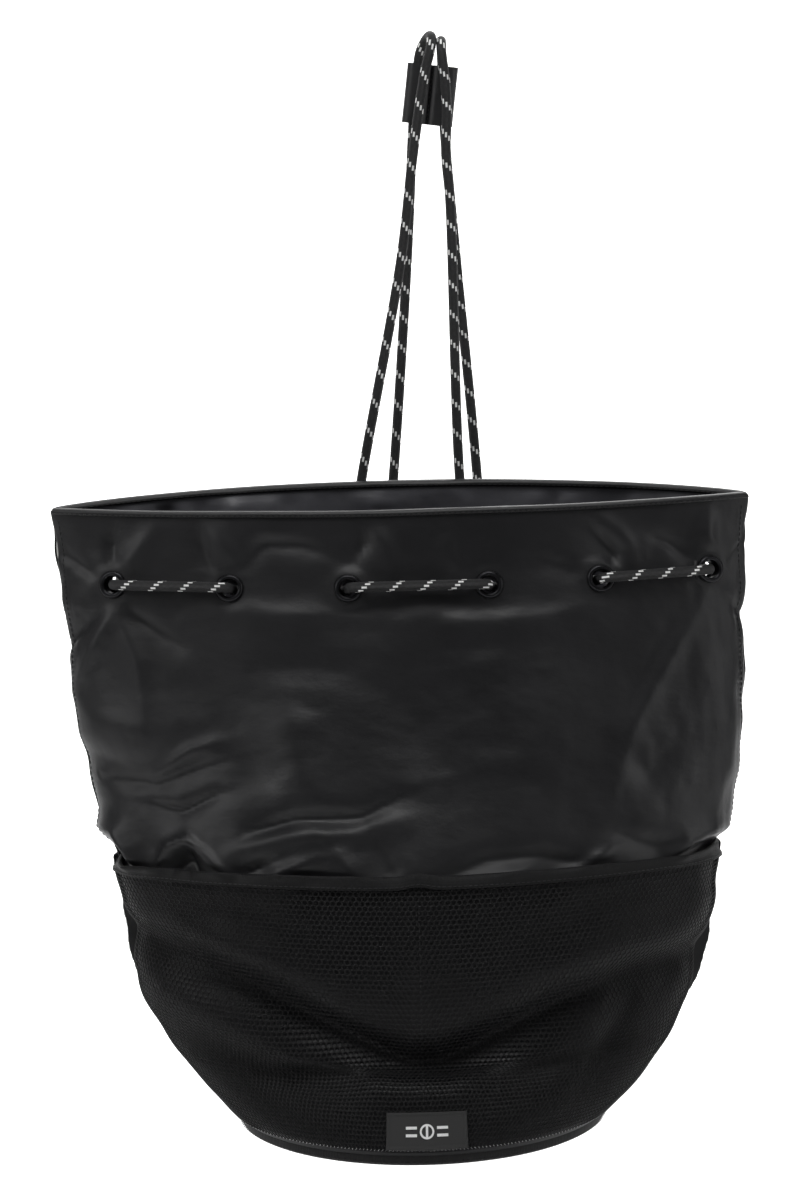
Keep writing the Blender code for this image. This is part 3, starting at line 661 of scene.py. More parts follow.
def satin(name, colour, roughness):
    """Tight satin nylon: fine weave, small rumples and a sheen that drifts."""
    made = Finish(name, colour, roughness, specular_ior_level=0.36)
    place, cloth = made.place(), made.uv("cloth")
    drift = made.noise(place, 9.0, 2.0)
    cloud = made.noise(place, 38.0, 4.0, 0.6)
    made.set("Roughness", drift.between(0.3, 0.7) * 0.10 + (roughness - 0.06) + cloud * 0.04)
    deep = tuple(c * 0.78 for c in colour)
    made.set("Base Color", made.blend(cloud.between(0.30, 0.70), deep, colour))
    rumples = made.noise(made.stretch(place, (1.0, 1.0, 1.7)), 48.0, 4.0, 0.55)
    swells = made.bump(rumples, 0.0011, 0.40)
    across, down, _ = made.split(cloth)
    weave = (across * (2 * pi / 0.0007)).sine() * (down * (2 * pi / 0.0007)).sine()
    made.bump(weave, 0.00003, 0.35, swells)
    return made.material


def net_cloth(name, colour):
    """Knitted polyester mono-yarn of the air mesh."""
    made = Finish(name, colour, 0.55, specular_ior_level=0.24)
    place = made.place()
    yarn = made.noise(made.stretch(place, (1.0, 1.0, 2.4)), 900.0, 3.0)
    patch = made.noise(place, 26.0, 2.0)
    made.set("Base Color", made.blend(yarn.between(0.3, 0.75), tuple(c * 0.6 for c in colour), colour))
    made.set("Roughness", patch * 0.16 + 0.46)
    made.bump(yarn, 0.00012, 0.6)
    return made.material


def woven(name, colour, pitch, roughness=0.62):
    """Plain tape or canvas: two crossing sets of ribs."""
    made = Finish(name, colour, roughness, specular_ior_level=0.20)
    place, cloth = made.place(), made.uv("cloth")
    across, down, _ = made.split(cloth)
    ribs = (across * (2 * pi / pitch)).sine() * 0.6 + (down * (2 * pi / pitch)).sine() * 0.4
    fuzz = made.noise(place, 420.0, 3.0)
    made.set("Base Color", made.blend(fuzz.between(0.25, 0.8), tuple(c * 0.65 for c in colour), colour))
    made.set("Roughness", fuzz * 0.14 + (roughness - 0.07))
    made.bump(fuzz, 0.0002, 0.4, made.bump(ribs, 0.00010, 0.7))
    return made.material


def hide(name, colour):
    """Coated leather with a fine pebbled grain, a little rougher where its wrinkles stand high."""
    made = Finish(name, colour, 0.5, specular_ior_level=0.45)
    place = made.place()
    grain = made.cells(place, 1500.0)
    wrinkle = made.noise(place, 160.0, 4.0, 0.6)
    made.set("Base Color", made.blend(wrinkle.between(0.3, 0.7), tuple(c * 0.7 for c in colour), colour))
    made.set("Roughness", wrinkle * 0.18 + 0.38)
    made.bump(wrinkle, 0.0003, 0.4, made.bump(grain, 0.00018, 0.5))
    return made.material


def braid(name, colour, fleck):
    """Braided sleeve: ribs along the cord, painted shade in the grooves between them, and one pale tracer yarn that
    steps round it.
    """
    columns, turn_length, dash, gap = 9.0, 0.0180, 0.082, 0.29
    made = Finish(name, colour, 0.62, specular_ior_level=0.4)
    around, along, _ = made.split(made.uv("braid"))
    rib = (around * columns).fraction()
    column = (around * columns).whole() / columns
    step = (along / turn_length + column + 200.0).fraction()
    in_dash = 1.0 - abs(step - 0.5).between(dash * 0.9, dash * 1.12)
    in_rib = 1.0 - abs(rib - 0.5).between(gap * 0.94, gap * 1.06)
    tracer = in_dash * in_rib
    # each column is three fine ribs wide, and the black yarns float in short steps along them
    fine_rib = (around * (columns * 3.0)).fraction()
    float_step = ((along / 0.0040 + (around * columns).whole() * 0.5) + 80.0).fraction()
    crown = (1.0 - abs(fine_rib - 0.5) * 2.0) * (1.0 - abs(float_step - 0.5) * 0.7)
    fuzz = made.noise(made.place(), 700.0, 3.0)
    # the yarn's colour is painted down to a third in the grooves between the fine ribs and at the floats' ends:
    # painted shade
    groove_shaded_yarn = made.blend(crown.between(0.1, 0.8), tuple(c * 0.35 for c in colour), colour)
    groove_shaded_yarn = made.blend(fuzz.between(0.45, 0.9) * 0.5, groove_shaded_yarn, tuple(c * 1.7 for c in colour))
    made.set("Base Color", made.blend(tracer, groove_shaded_yarn, fleck))
    made.set("Roughness", fuzz * 0.2 + 0.5)
    made.bump(crown + tracer * 0.25, 0.00032, 0.8)
    return made.material


def dark_metal(name, colour):
    """Black-plated brass, with a little wear on the plating."""
    made = Finish(name, colour, 0.3, 0.85, specular_ior_level=0.5)
    place = made.place()
    haze = made.noise(place, 260.0, 4.0)
    made.set("Roughness", haze * 0.24 + 0.2)
    made.set("Base Color", made.blend(haze.between(0.55, 0.9) * 0.6, colour, tuple(c * 2.2 for c in colour)))
    made.bump(haze, 0.00006, 0.5)
    return made.material


def moulded(name, colour, roughness):
    """Soft moulded rubber with a faint matte texture."""
    made = Finish(name, colour, roughness, specular_ior_level=0.45)
    place = made.place()
    speck = made.noise(place, 1400.0, 2.0)
    drift = made.noise(place, 90.0, 2.0)
    made.set("Roughness", drift * 0.14 + (roughness - 0.07))
    made.set("Base Color", made.blend(speck.between(0.3, 0.8), tuple(c * 0.85 for c in colour), colour))
    made.bump(speck, 0.00008, 0.5)
    return made.material


def foam_finish(name, colour):
    """Open-celled foam and loose wadding, with painted shade in its pores."""
    made = Finish(name, colour, 0.95)
    bubbles = made.cells(made.place(), 700.0)
    # each pore is painted darker towards its middle, where its bump is lowest: painted shade
    made.set("Base Color", made.blend(bubbles.between(0.0, 0.6), tuple(c * 0.6 for c in colour), colour))
    made.bump(bubbles, 0.0004, 0.8)
    return made.material


def backdrop_finish(name, colour, glow):
    """Matt painted sweep of a studio."""
    made = Finish(name, colour, 0.9, specular_ior_level=0.1)
    # only the sweep's upright part glows, so that the floor near the bag stays soft
    _, depth, _ = made.split(made.place())
    made.set("Emission Color", made.blend(depth.between(0.1, 1.5), (0.16, 0.16, 0.16), colour))
    made.set("Emission Strength", glow)
    drift = made.noise(made.place(), 1.5, 2.0)
    made.set("Base Color", made.blend(drift, tuple(c * 0.985 for c in colour), colour))
    return made.material


# ---------------------------------------------------------------- geometry node trees


class Tree:
    """A geometry node tree being built, with named inputs."""

    def __init__(self, name, inputs):
        self.group = bpy.data.node_groups.new(name, "GeometryNodeTree")
        self.group.interface.new_socket("Geometry", in_out="INPUT", socket_type="NodeSocketGeometry")
        for key, (kind, value) in inputs.items():
            made = self.group.interface.new_socket(key, in_out="INPUT", socket_type=kind)
            if value is not None:
                made.default_value = value
        self.group.interface.new_socket("Geometry", in_out="OUTPUT", socket_type="NodeSocketGeometry")
        self.inputs = self.group.nodes.new("NodeGroupInput")
        self.result = self.group.nodes.new("NodeGroupOutput")

    def given(self, name):
        return self.inputs.outputs[name]

    def node(self, kind, settings=None, **sockets):
        made = self.group.nodes.new(kind)
        for key, value in (settings or {}).items():
            setattr(made, key, value)
        for key, value in sockets.items():
            name = key.replace("_", " ")
            socket = made.inputs[int(name[1:])] if name[0] == "i" and name[1:].isdigit() else made.inputs[name]
            if isinstance(value, bpy.types.NodeSocket):
                self.group.links.new(value, socket)
            else:
                socket.default_value = value
        return made

    def finish(self, geometry):
        real = self.node("GeometryNodeRealizeInstances", Geometry=geometry)
        painted = self.node("GeometryNodeSetMaterial", Geometry=real.outputs[0], Material=self.given("Finish"))
        self.group.links.new(painted.outputs[0], self.result.inputs[0])
        return self.group


def grown(name, base, tree, values, finish):
    """The plain mesh that a tree makes from a base mesh, with its inputs set first."""
    seed = bpy.data.objects.new(f"{name}_seed", base)
    bpy.context.scene.collection.objects.link(seed)
    modifier = seed.modifiers.new("grow", "NODES")
    modifier.node_group = tree
    sockets = {s.name: s.identifier for s in tree.interface.items_tree if s.in_out == "INPUT"}
    for key, value in values.items():
        modifier[sockets[key]] = value
    modifier[sockets["Finish"]] = finish
    bpy.context.view_layer.update()
    mesh = bpy.data.meshes.new_from_object(seed.evaluated_get(bpy.context.evaluated_depsgraph_get()))
    mesh.name = name
    seed.modifiers.remove(modifier)
    bpy.data.objects.remove(seed)
    return mesh


def stitch_tree():
    """Short thread stitches laid end to end along every line of the base mesh."""
    t = Tree("stitch_rows", {
        "Pitch": ("NodeSocketFloat", 0.003), "Length": ("NodeSocketFloat", 0.0022),
        "Thread": ("NodeSocketFloat", 0.0005), "Finish": ("NodeSocketMaterial", None),
    })
    lines = t.node("GeometryNodeMeshToCurve", Mesh=t.given("Geometry"))
    dots = t.node("GeometryNodeCurveToPoints", {"mode": "LENGTH"}, Curve=lines.outputs[0], Length=t.given("Pitch"))
    seed = t.node("GeometryNodeMeshUVSphere", Segments=6, Rings=5, Radius=0.5)
    size = t.node("ShaderNodeCombineXYZ", X=t.given("Thread"), Y=t.given("Thread"), Z=t.given("Length"))
    turn = t.node("FunctionNodeAlignRotationToVector", {"axis": "Z"}, Vector=dots.outputs["Tangent"])
    laid = t.node(
        "GeometryNodeInstanceOnPoints", Points=dots.outputs["Points"], Instance=seed.outputs["Mesh"],
        Rotation=turn.outputs[0], Scale=size.outputs[0],
    )
    return t.finish(laid.outputs[0])


def eyelet_tree():
    """One turned piece on every point of the base mesh, its axis along the point's facing."""
    t = Tree("eyelet_row", {
        "Piece": ("NodeSocketObject", None), "Size": ("NodeSocketFloat", 1.0), "Finish": ("NodeSocketMaterial", None),
    })
    piece = t.node("GeometryNodeObjectInfo", Object=t.given("Piece"))
    facing = t.node("GeometryNodeInputNamedAttribute", {"data_type": "FLOAT_VECTOR"}, Name="facing")
    turn = t.node("FunctionNodeAlignRotationToVector", {"axis": "Z"}, Vector=facing.outputs[0])
    laid = t.node(
        "GeometryNodeInstanceOnPoints", Points=t.given("Geometry"), Instance=piece.outputs["Geometry"],
        Rotation=turn.outputs[0], Scale=t.given("Size"),
    )
    return t.finish(laid.outputs[0])


def net_tree():
    """Knitted cells laid in offset rows over a cloth, each bent to the cloth's own surface."""
    t = Tree("air_mesh_cells", {
        "Cell": ("NodeSocketObject", None), "Pitch": ("NodeSocketFloat", 0.0034),
        "Width": ("NodeSocketFloat", 0.43), "Drop": ("NodeSocketFloat", 0.17),
        "Columns": ("NodeSocketInt", 120), "Rows": ("NodeSocketInt", 56),
        "Left": ("NodeSocketFloat", 0.0), "Top": ("NodeSocketFloat", 0.0),
        "Span": ("NodeSocketFloat", 0.45), "Finish": ("NodeSocketMaterial", None),
    })
    maths = lambda operation, a, b=0.0: t.node("ShaderNodeMath", {"operation": operation}, i0=a, i1=b).outputs[0]
    lattice = t.node(
        "GeometryNodeMeshGrid", Size_X=t.given("Width"), Size_Y=t.given("Drop"),
        Vertices_X=t.given("Columns"), Vertices_Y=t.given("Rows"),
    )
    place = t.node("GeometryNodeInputPosition").outputs[0]
    apart = t.node("ShaderNodeSeparateXYZ", Vector=place)
    index = t.node("GeometryNodeInputIndex").outputs[0]
    odd = maths("MODULO", index, t.given("Rows"))
    odd = maths("MODULO", odd, 2.0)
    shift = maths("MULTIPLY", maths("SUBTRACT", odd, 0.5), maths("MULTIPLY", t.given("Pitch"), 0.5))
    x = maths("ADD", maths("ADD", apart.outputs[0], maths("MULTIPLY", t.given("Width"), 0.5)), shift)
    x = maths("ADD", x, t.given("Left"))
    y = maths("ADD", maths("ADD", apart.outputs[1], maths("MULTIPLY", t.given("Drop"), 0.5)), t.given("Top"))
    centre = t.node("ShaderNodeCombineXYZ", X=x, Y=y)
    dots = t.node("GeometryNodeSetPosition", Geometry=lattice.outputs["Mesh"], Position=centre.outputs[0])
    cell = t.node("GeometryNodeObjectInfo", Object=t.given("Cell"))
    laid = t.node(
        "GeometryNodeInstanceOnPoints", Points=dots.outputs[0], Instance=cell.outputs["Geometry"],
        Scale=t.given("Pitch"),
    )
    real = t.node("GeometryNodeRealizeInstances", Geometry=laid.outputs[0])
    flat = t.node("GeometryNodeInputPosition").outputs[0]
    on_map = t.node("ShaderNodeVectorMath", {"operation": "DIVIDE"}, i0=flat)
    span = t.node("ShaderNodeCombineXYZ", X=t.given("Span"), Y=t.given("Span"), Z=1.0)
    t.group.links.new(span.outputs[0], on_map.inputs[1])
    cloth = t.node("GeometryNodeInputNamedAttribute", {"data_type": "FLOAT_VECTOR"}, Name="net")
    found = []
    for field in ("GeometryNodeInputPosition", "GeometryNodeInputNormal"):
        value = t.node(field).outputs[0]
        sample = t.node("GeometryNodeSampleUVSurface", {"data_type": "FLOAT_VECTOR"}, Mesh=t.given("Geometry"))
        t.group.links.new(value, sample.inputs["Value"])
        t.group.links.new(cloth.outputs[0], sample.inputs["UV Map"])
        t.group.links.new(on_map.outputs[0], sample.inputs["Sample UV"])
        found.append(sample)
    height = t.node("ShaderNodeSeparateXYZ", Vector=flat).outputs[2]
    lift = t.node("ShaderNodeVectorMath", {"operation": "SCALE"}, i0=found[1].outputs["Value"], Scale=height)
    where = t.node("ShaderNodeVectorMath", {"operation": "ADD"}, i0=found[0].outputs["Value"], i1=lift.outputs[0])
    off_cloth = t.node("FunctionNodeBooleanMath", {"operation": "NOT"}, i0=found[0].outputs["Is Valid"])
    trimmed = t.node("GeometryNodeDeleteGeometry", Geometry=real.outputs[0], Selection=off_cloth.outputs[0])
    bent = t.node("GeometryNodeSetPosition", Geometry=trimmed.outputs[0], Position=where.outputs[0])
    welded = t.node("GeometryNodeMergeByDistance", Geometry=bent.outputs[0], Distance=0.00012)
    return t.finish(welded.outputs[0])


def line_mesh(name, lines):
    """A mesh of plain lines, each a list of points."""
    points, edges = [], []
    for line in lines:
        start = len(points)
        points += [tuple(p) for p in line]
        edges += [(start + k, start + k + 1) for k in range(len(line) - 1)]
    mesh = bpy.data.meshes.new(name)
    mesh.from_pydata(points, edges, [])
    return mesh


# ---------------------------------------------------------------- the cord's route, in world metres

LEFT_FRONT_STRAND = (
    (0.0002, -0.0090, -0.0060), (-0.0033, -0.0072, -0.0208), (-0.0102, 0.0003, -0.0678),
    (-0.0174, 0.0099, -0.1300), (-0.0419, 0.0300, -0.2644),
)
LEFT_REAR_STRAND = (
    (-0.0062, 0.0092, -0.0060), (-0.0076, 0.0113, -0.0180), (-0.0088, 0.0137, -0.0300),
    (-0.0102, 0.0170, -0.0497), (-0.0137, 0.0312, -0.1278), (-0.0223, 0.0555, -0.2624),
)
LEFT_LOOP = ((0.0008, -0.0066, 0.0002), (-0.0004, -0.0005, 0.0030), (-0.0034, 0.0062, 0.0004))
RIGHT_FRONT_STRAND = (
    (0.0068, -0.0090, -0.0090), (0.0090, -0.0066, -0.0260), (0.0100, -0.0036, -0.0417),
    (0.0096, 0.0003, -0.0678), (0.0121, 0.0044, -0.0948), (0.0186, 0.0300, -0.2627),
)
RIGHT_REAR_STRAND = (
    (0.0072, 0.0092, -0.0090), (0.0083, 0.0137, -0.0300), (0.0090, 0.0170, -0.0505),
    (0.0163, 0.0312, -0.1270), (0.0300, 0.0555, -0.2617),
)
RIGHT_LOOP = ((0.0066, -0.0062, -0.0025), (0.0066, 0.0000, 0.0000), (0.0070, 0.0064, -0.0026))
OUTSIDE_RUN, OUTSIDE_BEND, INSIDE_BEND, INSIDE_RUN = 0.0099, 0.0090, -0.0049, -0.0058
RUN_START, BEND_START = 0.0080, 0.0024


def crossing(frame_at, outside, inside):
    """The cord's points through one eyelet, from outside to inside."""
    def at(direction, reach, height):
        return frame_at @ Vector((direction[0] * reach, direction[1] * reach, height))

    points = [at(outside, RUN_START, OUTSIDE_RUN), at(outside, BEND_START, OUTSIDE_BEND)]
    if inside is None:
        return points + [at(outside, 0.0010, 0.0045), at(outside, 0.0010, -0.0020)]
    points += [at(outside, 0.0002, 0.0045), at(inside, 0.0002, -0.0002)]
    return points + [at(inside, BEND_START, INSIDE_BEND), at(inside, RUN_START, INSIDE_RUN)]


def woven_points():
    left, right, up = (-1.0, 0.0), (1.0, 0.0), (0.0, 1.0)
    front = [eyelet_frame("front", x) for x in EYELETS["front"][0]]
    back = [eyelet_frame("back", x) for x in EYELETS["back"][0]]
    points = crossing(back[2], up, left)
    points += reversed(crossing(back[1], left, right))
    points += crossing(back[0], right, None)
    points += reversed(crossing(front[0], right, None))
    points += crossing(front[1], left, right)
    points += reversed(crossing(front[2], right, left))
    points += crossing(front[3], left, right)
    points += reversed(crossing(front[4], right, left))
    points += crossing(front[5], left, None)
    points += reversed(crossing(back[5], left, None))
    points += crossing(back[4], right, left)
    points += reversed(crossing(back[3], up, right))
    return [BAG_TO_WORLD @ p for p in points]


def tab_frame(side):
    """Frame of an anchor tab in world metres: +Z up its cord, +Y away from the bag."""
    x = BASE_SHIFT + ANCHOR_SHIFT + side * ANCHOR_SPREAD
    foot = wall_frame(x, 0.985, "back")
    strand = LEFT_REAR_STRAND if side < 0 else RIGHT_REAR_STRAND
    angle = float(np.arccos((x - BASE_SHIFT) / cage(0.985)[0]))
    stand = float(pocket_stand(angle, 0.985)) + 0.0013 + 0.0006 + TAB_SIZE[1] / 2.0
    start = foot @ Vector((0.0, 0.0, stand))
    up = (BAG_TO_WORLD.inverted() @ Vector(strand[-1]) - start).normalized()
    out = foot.to_3x3() @ Vector((0.0, 0.0, 1.0))
    out = (out - up * out.dot(up)).normalized()
    made = Matrix((out.cross(up), out, up)).transposed().to_4x4()
    made.translation = start + up * TAB_SIZE[2] / 2.0
    return BAG_TO_WORLD @ made


def cord_points():
    def end(side):
        top = TAB_SIZE[2] / 2.0
        place = tab_frame(side)
        return [place @ Vector((0.0, 0.0, top - TAB_SOCKET_DEPTH + 0.0005)), place @ Vector((0.0, 0.0, top + 0.004))]

    def half_way(a, b):
        return (Vector(a) + Vector(b)) / 2.0

    left, right = end(-1), end(1)
    points = left + [half_way(left[1], LEFT_REAR_STRAND[-1])]
    points += reversed(LEFT_REAR_STRAND)
    points += reversed(LEFT_LOOP)
    points += LEFT_FRONT_STRAND
    points += woven_points()
    points += reversed(RIGHT_FRONT_STRAND)
    points += RIGHT_LOOP
    points += RIGHT_REAR_STRAND
    points += [half_way(right[1], RIGHT_REAR_STRAND[-1])] + right[::-1]
    return np.array([tuple(p) for p in points])


def smooth_line(points, step):
    """Points at an even step on a centripetal curve through the given ones."""
    padded = np.concatenate((points[:1] * 2 - points[1:2], points, points[-1:] * 2 - points[-2:-1]))
    fine = []
    for p0, p1, p2, p3 in zip(padded, padded[1:], padded[2:], padded[3:]):
        t0 = 0.0
        t1 = t0 + sqrt(np.linalg.norm(p1 - p0))
        t2 = t1 + sqrt(np.linalg.norm(p2 - p1))
        t3 = t2 + sqrt(np.linalg.norm(p3 - p2))
        t = np.linspace(t1, t2, 24, endpoint=False)[:, None]
        a1 = (t1 - t) / (t1 - t0) * p0 + (t - t0) / (t1 - t0) * p1
        a2 = (t2 - t) / (t2 - t1) * p1 + (t - t1) / (t2 - t1) * p2
        a3 = (t3 - t) / (t3 - t2) * p2 + (t - t2) / (t3 - t2) * p3
        b1 = (t2 - t) / (t2 - t0) * a1 + (t - t0) / (t2 - t0) * a2
        b2 = (t3 - t) / (t3 - t1) * a2 + (t - t1) / (t3 - t1) * a3
        fine.append((t2 - t) / (t2 - t1) * b1 + (t - t1) / (t2 - t1) * b2)
    fine = np.concatenate(fine + [points[-1:]])
    travelled = np.concatenate(([0.0], np.cumsum(np.linalg.norm(np.diff(fine, axis=0), axis=1))))
    wanted = np.linspace(0.0, travelled[-1], int(travelled[-1] / step) + 1)
    return np.stack([np.interp(wanted, travelled, fine[:, k]) for k in range(3)], -1), wanted


def tube(name, line, travelled, radius, sides):
    """A round tube along a line, mapped round (0 to 1) and along (metres)."""
    tangent = unit(np.gradient(line, axis=0))
    across = np.zeros_like(line)
    side = np.array((1.0, 0.0, 0.0))
    for k, ahead in enumerate(tangent):
        side = side - ahead * side.dot(ahead)
        side = side / np.linalg.norm(side)
        across[k] = side
    other = np.cross(tangent, across)
    turn = np.linspace(0.0, 2.0 * pi, sides + 1)
    rings = (
        line[:, None] + radius * (np.cos(turn)[None, :, None] * across[:, None]
                                  + np.sin(turn)[None, :, None] * other[:, None])
    )
    steps, count = rings.shape[:2]
    index = np.arange(steps * count).reshape(steps, count)
    faces = np.stack((index[:-1, :-1], index[:-1, 1:], index[1:, 1:], index[1:, :-1]), -1).reshape(-1, 4).tolist()
    faces += [index[0, :-1].tolist()[::-1], index[-1, :-1].tolist()]
    mesh = bpy.data.meshes.new(name)
    mesh.from_pydata([tuple(p) for p in rings.reshape(-1, 3)], [], faces)
    layer = mesh.uv_layers.new(name="braid")
    corners = np.empty(len(mesh.loops), dtype=np.int32)
    mesh.loops.foreach_get("vertex_index", corners)
    around = np.broadcast_to(turn / (2.0 * pi), (steps, count))
    along = np.broadcast_to(travelled[:, None], (steps, count))
    mapped = np.stack((around, along), -1).reshape(-1, 2)
    layer.data.foreach_set("uv", mapped[corners].astype(np.float32).ravel())
    bm = bmesh.new()
    bm.from_mesh(mesh)
    bmesh.ops.remove_doubles(bm, verts=bm.verts, dist=1e-6)
    bmesh.ops.recalc_face_normals(bm, faces=bm.faces)
    bm.to_mesh(mesh)
    bm.free()
    mesh.shade_smooth()
    return mesh


# ---------------------------------------------------------------- settings


class BallBagLooks(bpy.types.PropertyGroup):
    """Sizes and colours that a user would change."""

    satin: bpy.props.FloatVectorProperty(
        name="Satin", description="Colour of the outer cloth", subtype="COLOR", size=3,
        default=(0.0090, 0.0090, 0.0102), min=0.0, max=1.0)
    lining: bpy.props.FloatVectorProperty(
        name="Lining", description="Colour of the lining", subtype="COLOR", size=3, default=(0.055, 0.055, 0.062),
        min=0.0, max=1.0)
    net: bpy.props.FloatVectorProperty(
        name="Air mesh", description="Colour of the mesh pockets", subtype="COLOR", size=3,
        default=(0.0075, 0.0075, 0.0080), min=0.0, max=1.0)
    braid: bpy.props.FloatVectorProperty(
        name="Braid", description="Colour of the cord's black yarns", subtype="COLOR", size=3,
        default=(0.022, 0.022, 0.023), min=0.0, max=1.0)
    fleck: bpy.props.FloatVectorProperty(
        name="Tracer", description="Colour of the cord's pale tracer yarns", subtype="COLOR", size=3,
        default=(0.85, 0.85, 0.84), min=0.0, max=1.0)
    leather: bpy.props.FloatVectorProperty(
        name="Leather", description="Colour of the keeper and the anchor tabs", subtype="COLOR", size=3,
        default=(0.013, 0.013, 0.014), min=0.0, max=1.0)
    cord_diameter: bpy.props.FloatProperty(
        name="Cord diameter", description="Thickness of the drawcord", default=0.0060, min=0.004, max=0.007,
        unit="LENGTH")
    net_pitch: bpy.props.FloatProperty(
        name="Mesh pitch", description="Distance from one hole of the mesh to the next", default=0.0032, min=0.003,
        max=0.006, unit="LENGTH")
    stitch_pitch: bpy.props.FloatProperty(
        name="Stitch pitch", description="Distance from one stitch to the next", default=0.0030, min=0.002, max=0.006,
        unit="LENGTH")
    thread: bpy.props.FloatProperty(
        name="Thread", description="Thickness of the sewing thread", default=0.0006, min=0.0003, max=0.001,
        unit="LENGTH")


def looks():
    return bpy.context.scene.ball_bag_looks


def shared_finish(name, make, *values):
    """One material for every piece of a finish, made when it is first asked for."""
    return bpy.data.materials.get(name) or make(name, *values)


def thread_finish():
    return shared_finish("sewing_thread", woven_thread)


def woven_thread(name):
    made = Finish(name, (0.012, 0.012, 0.013), 0.5, specular_ior_level=0.35)
    twist = made.noise(made.place(), 1800.0, 2.0)
    made.set("Base Color", made.blend(twist, (0.006, 0.006, 0.0065), (0.018, 0.018, 0.019)))
    made.set("Roughness", twist * 0.2 + 0.42)
    made.bump(twist, 0.0001, 0.6)
    return made.material


def stitch(name, lines, pitch=None, length_share=0.74, body="bag", thread=None):
    """Sew rows of stitches along lines of world points."""
    pitch = pitch or looks().stitch_pitch
    tree = bpy.data.node_groups.get("stitch_rows") or stitch_tree()
    values = {"Pitch": pitch, "Length": pitch * length_share, "Thread": thread or looks().thread}
    mesh = grown(name, line_mesh(f"{name}_rows", lines), tree, values, thread_finish())
    return put(name, mesh, None, body)


# ---------------------------------------------------------------- operators


class StudioStage(bpy.types.Operator):
    """Set the camera, the pale sweep and the soft lights"""

    bl_idname = "ballbag.stage"
    bl_label = "Stage"

    def execute(self, context):
        scene = context.scene
        scene.view_settings.view_transform = "Standard"
        camera = bpy.data.objects.new("camera", bpy.data.cameras.new("camera"))
        camera.data.sensor_width = 36.0
        camera.data.lens = 85.0
        camera.location = (-0.018, -1.7, -0.3354)
        camera.rotation_euler = (pi / 2.0, 0.0, 0.0)
        scene.collection.objects.link(camera)
        scene.camera = camera

        profile = [(-0.9, -0.76)] + [
            (1.6 + 1.4 * sin(t), 0.64 - 1.4 * cos(t)) for t in np.linspace(0.0, pi / 2.0, 24)
        ] + [(3.0, 4.0)]
        points = [(x, y, z) for x in (-3.5, 3.5) for y, z in profile]
        count = len(profile)
        faces = [(k, k + 1, count + k + 1, count + k) for k in range(count - 1)]
        sweep = bpy.data.meshes.new("studio_sweep")
        sweep.from_pydata(points, [], faces)
        sweep.shade_smooth()
        sweep.materials.append(backdrop_finish("sweep_paint", (0.90, 0.90, 0.90), 1.05))
        stage = bpy.data.objects.new("studio_sweep", sweep)
        scene.collection.objects.link(stage)

        world = bpy.data.worlds.new("studio_air")
        world.use_nodes = True
        sky = world.node_tree.nodes["Background"].inputs
        sky["Color"].default_value = (1.0, 1.0, 1.0, 1.0)
        # the surroundings are seen as pale paper, and light the bag far less than they look
        air = Nodes(world.node_tree)
        seen = air.node("ShaderNodeLightPath", {}, output="Is Camera Ray")
        strength = air.node("ShaderNodeMapRange", {}, seen, To_Min=0.085, To_Max=0.90)
        world.node_tree.links.new(strength.socket, sky["Strength"])
        scene.world = world
        lamps = (
            ("key_left", (-1.6, -0.9, 0.55), (-0.02, 0.0, -0.42), (0.6, 1.0), 10.0),
            ("fill_right", (1.7, -0.7, 0.20), (-0.02, 0.0, -0.42), (0.8, 1.2), 6.5),
            ("top_soft", (-0.1, -0.75, 1.15), (0.0, 0.0, -0.4), (1.2, 0.6), 15.0),
            ("back_fill", (0.4, 1.5, 0.9), (-0.02, 0.0, -0.42), (1.0, 1.0), 9.0),
            ("sweep_wash", (0.0, 1.2, 1.9), (0.0, 2.4, -0.4), (3.0, 1.0), 45.0),
        )
        for name, place, aim, size, power in lamps:
            light = bpy.data.lights.new(name, "AREA")
            light.shape = "RECTANGLE"
            light.size, light.size_y = size
            light.energy = power
            lamp = bpy.data.objects.new(name, light)
            lamp.location = place
            lamp.rotation_euler = (Vector(aim) - Vector(place)).to_track_quat("-Z", "Y").to_euler()
            scene.collection.objects.link(lamp)
        return {"FINISHED"}


class Drawcord(bpy.types.Operator):
    """Lay the one braided cord from its left anchor, over the peg and through the eyelets, to its right anchor"""

    bl_idname = "ballbag.drawcord"
    bl_label = "Drawcord"

    def execute(self, context):
        radius = looks().cord_diameter / 2.0
        line, travelled = smooth_line(cord_points(), 0.0016)
        mesh = tube("braided_drawcord", line, travelled, radius, 20)
        finish = braid("braided_cord_finish", tuple(looks().braid), tuple(looks().fleck))
        piece = put("braided_drawcord", mesh, finish, "bag", ("drawcord",))
        return {"FINISHED"}


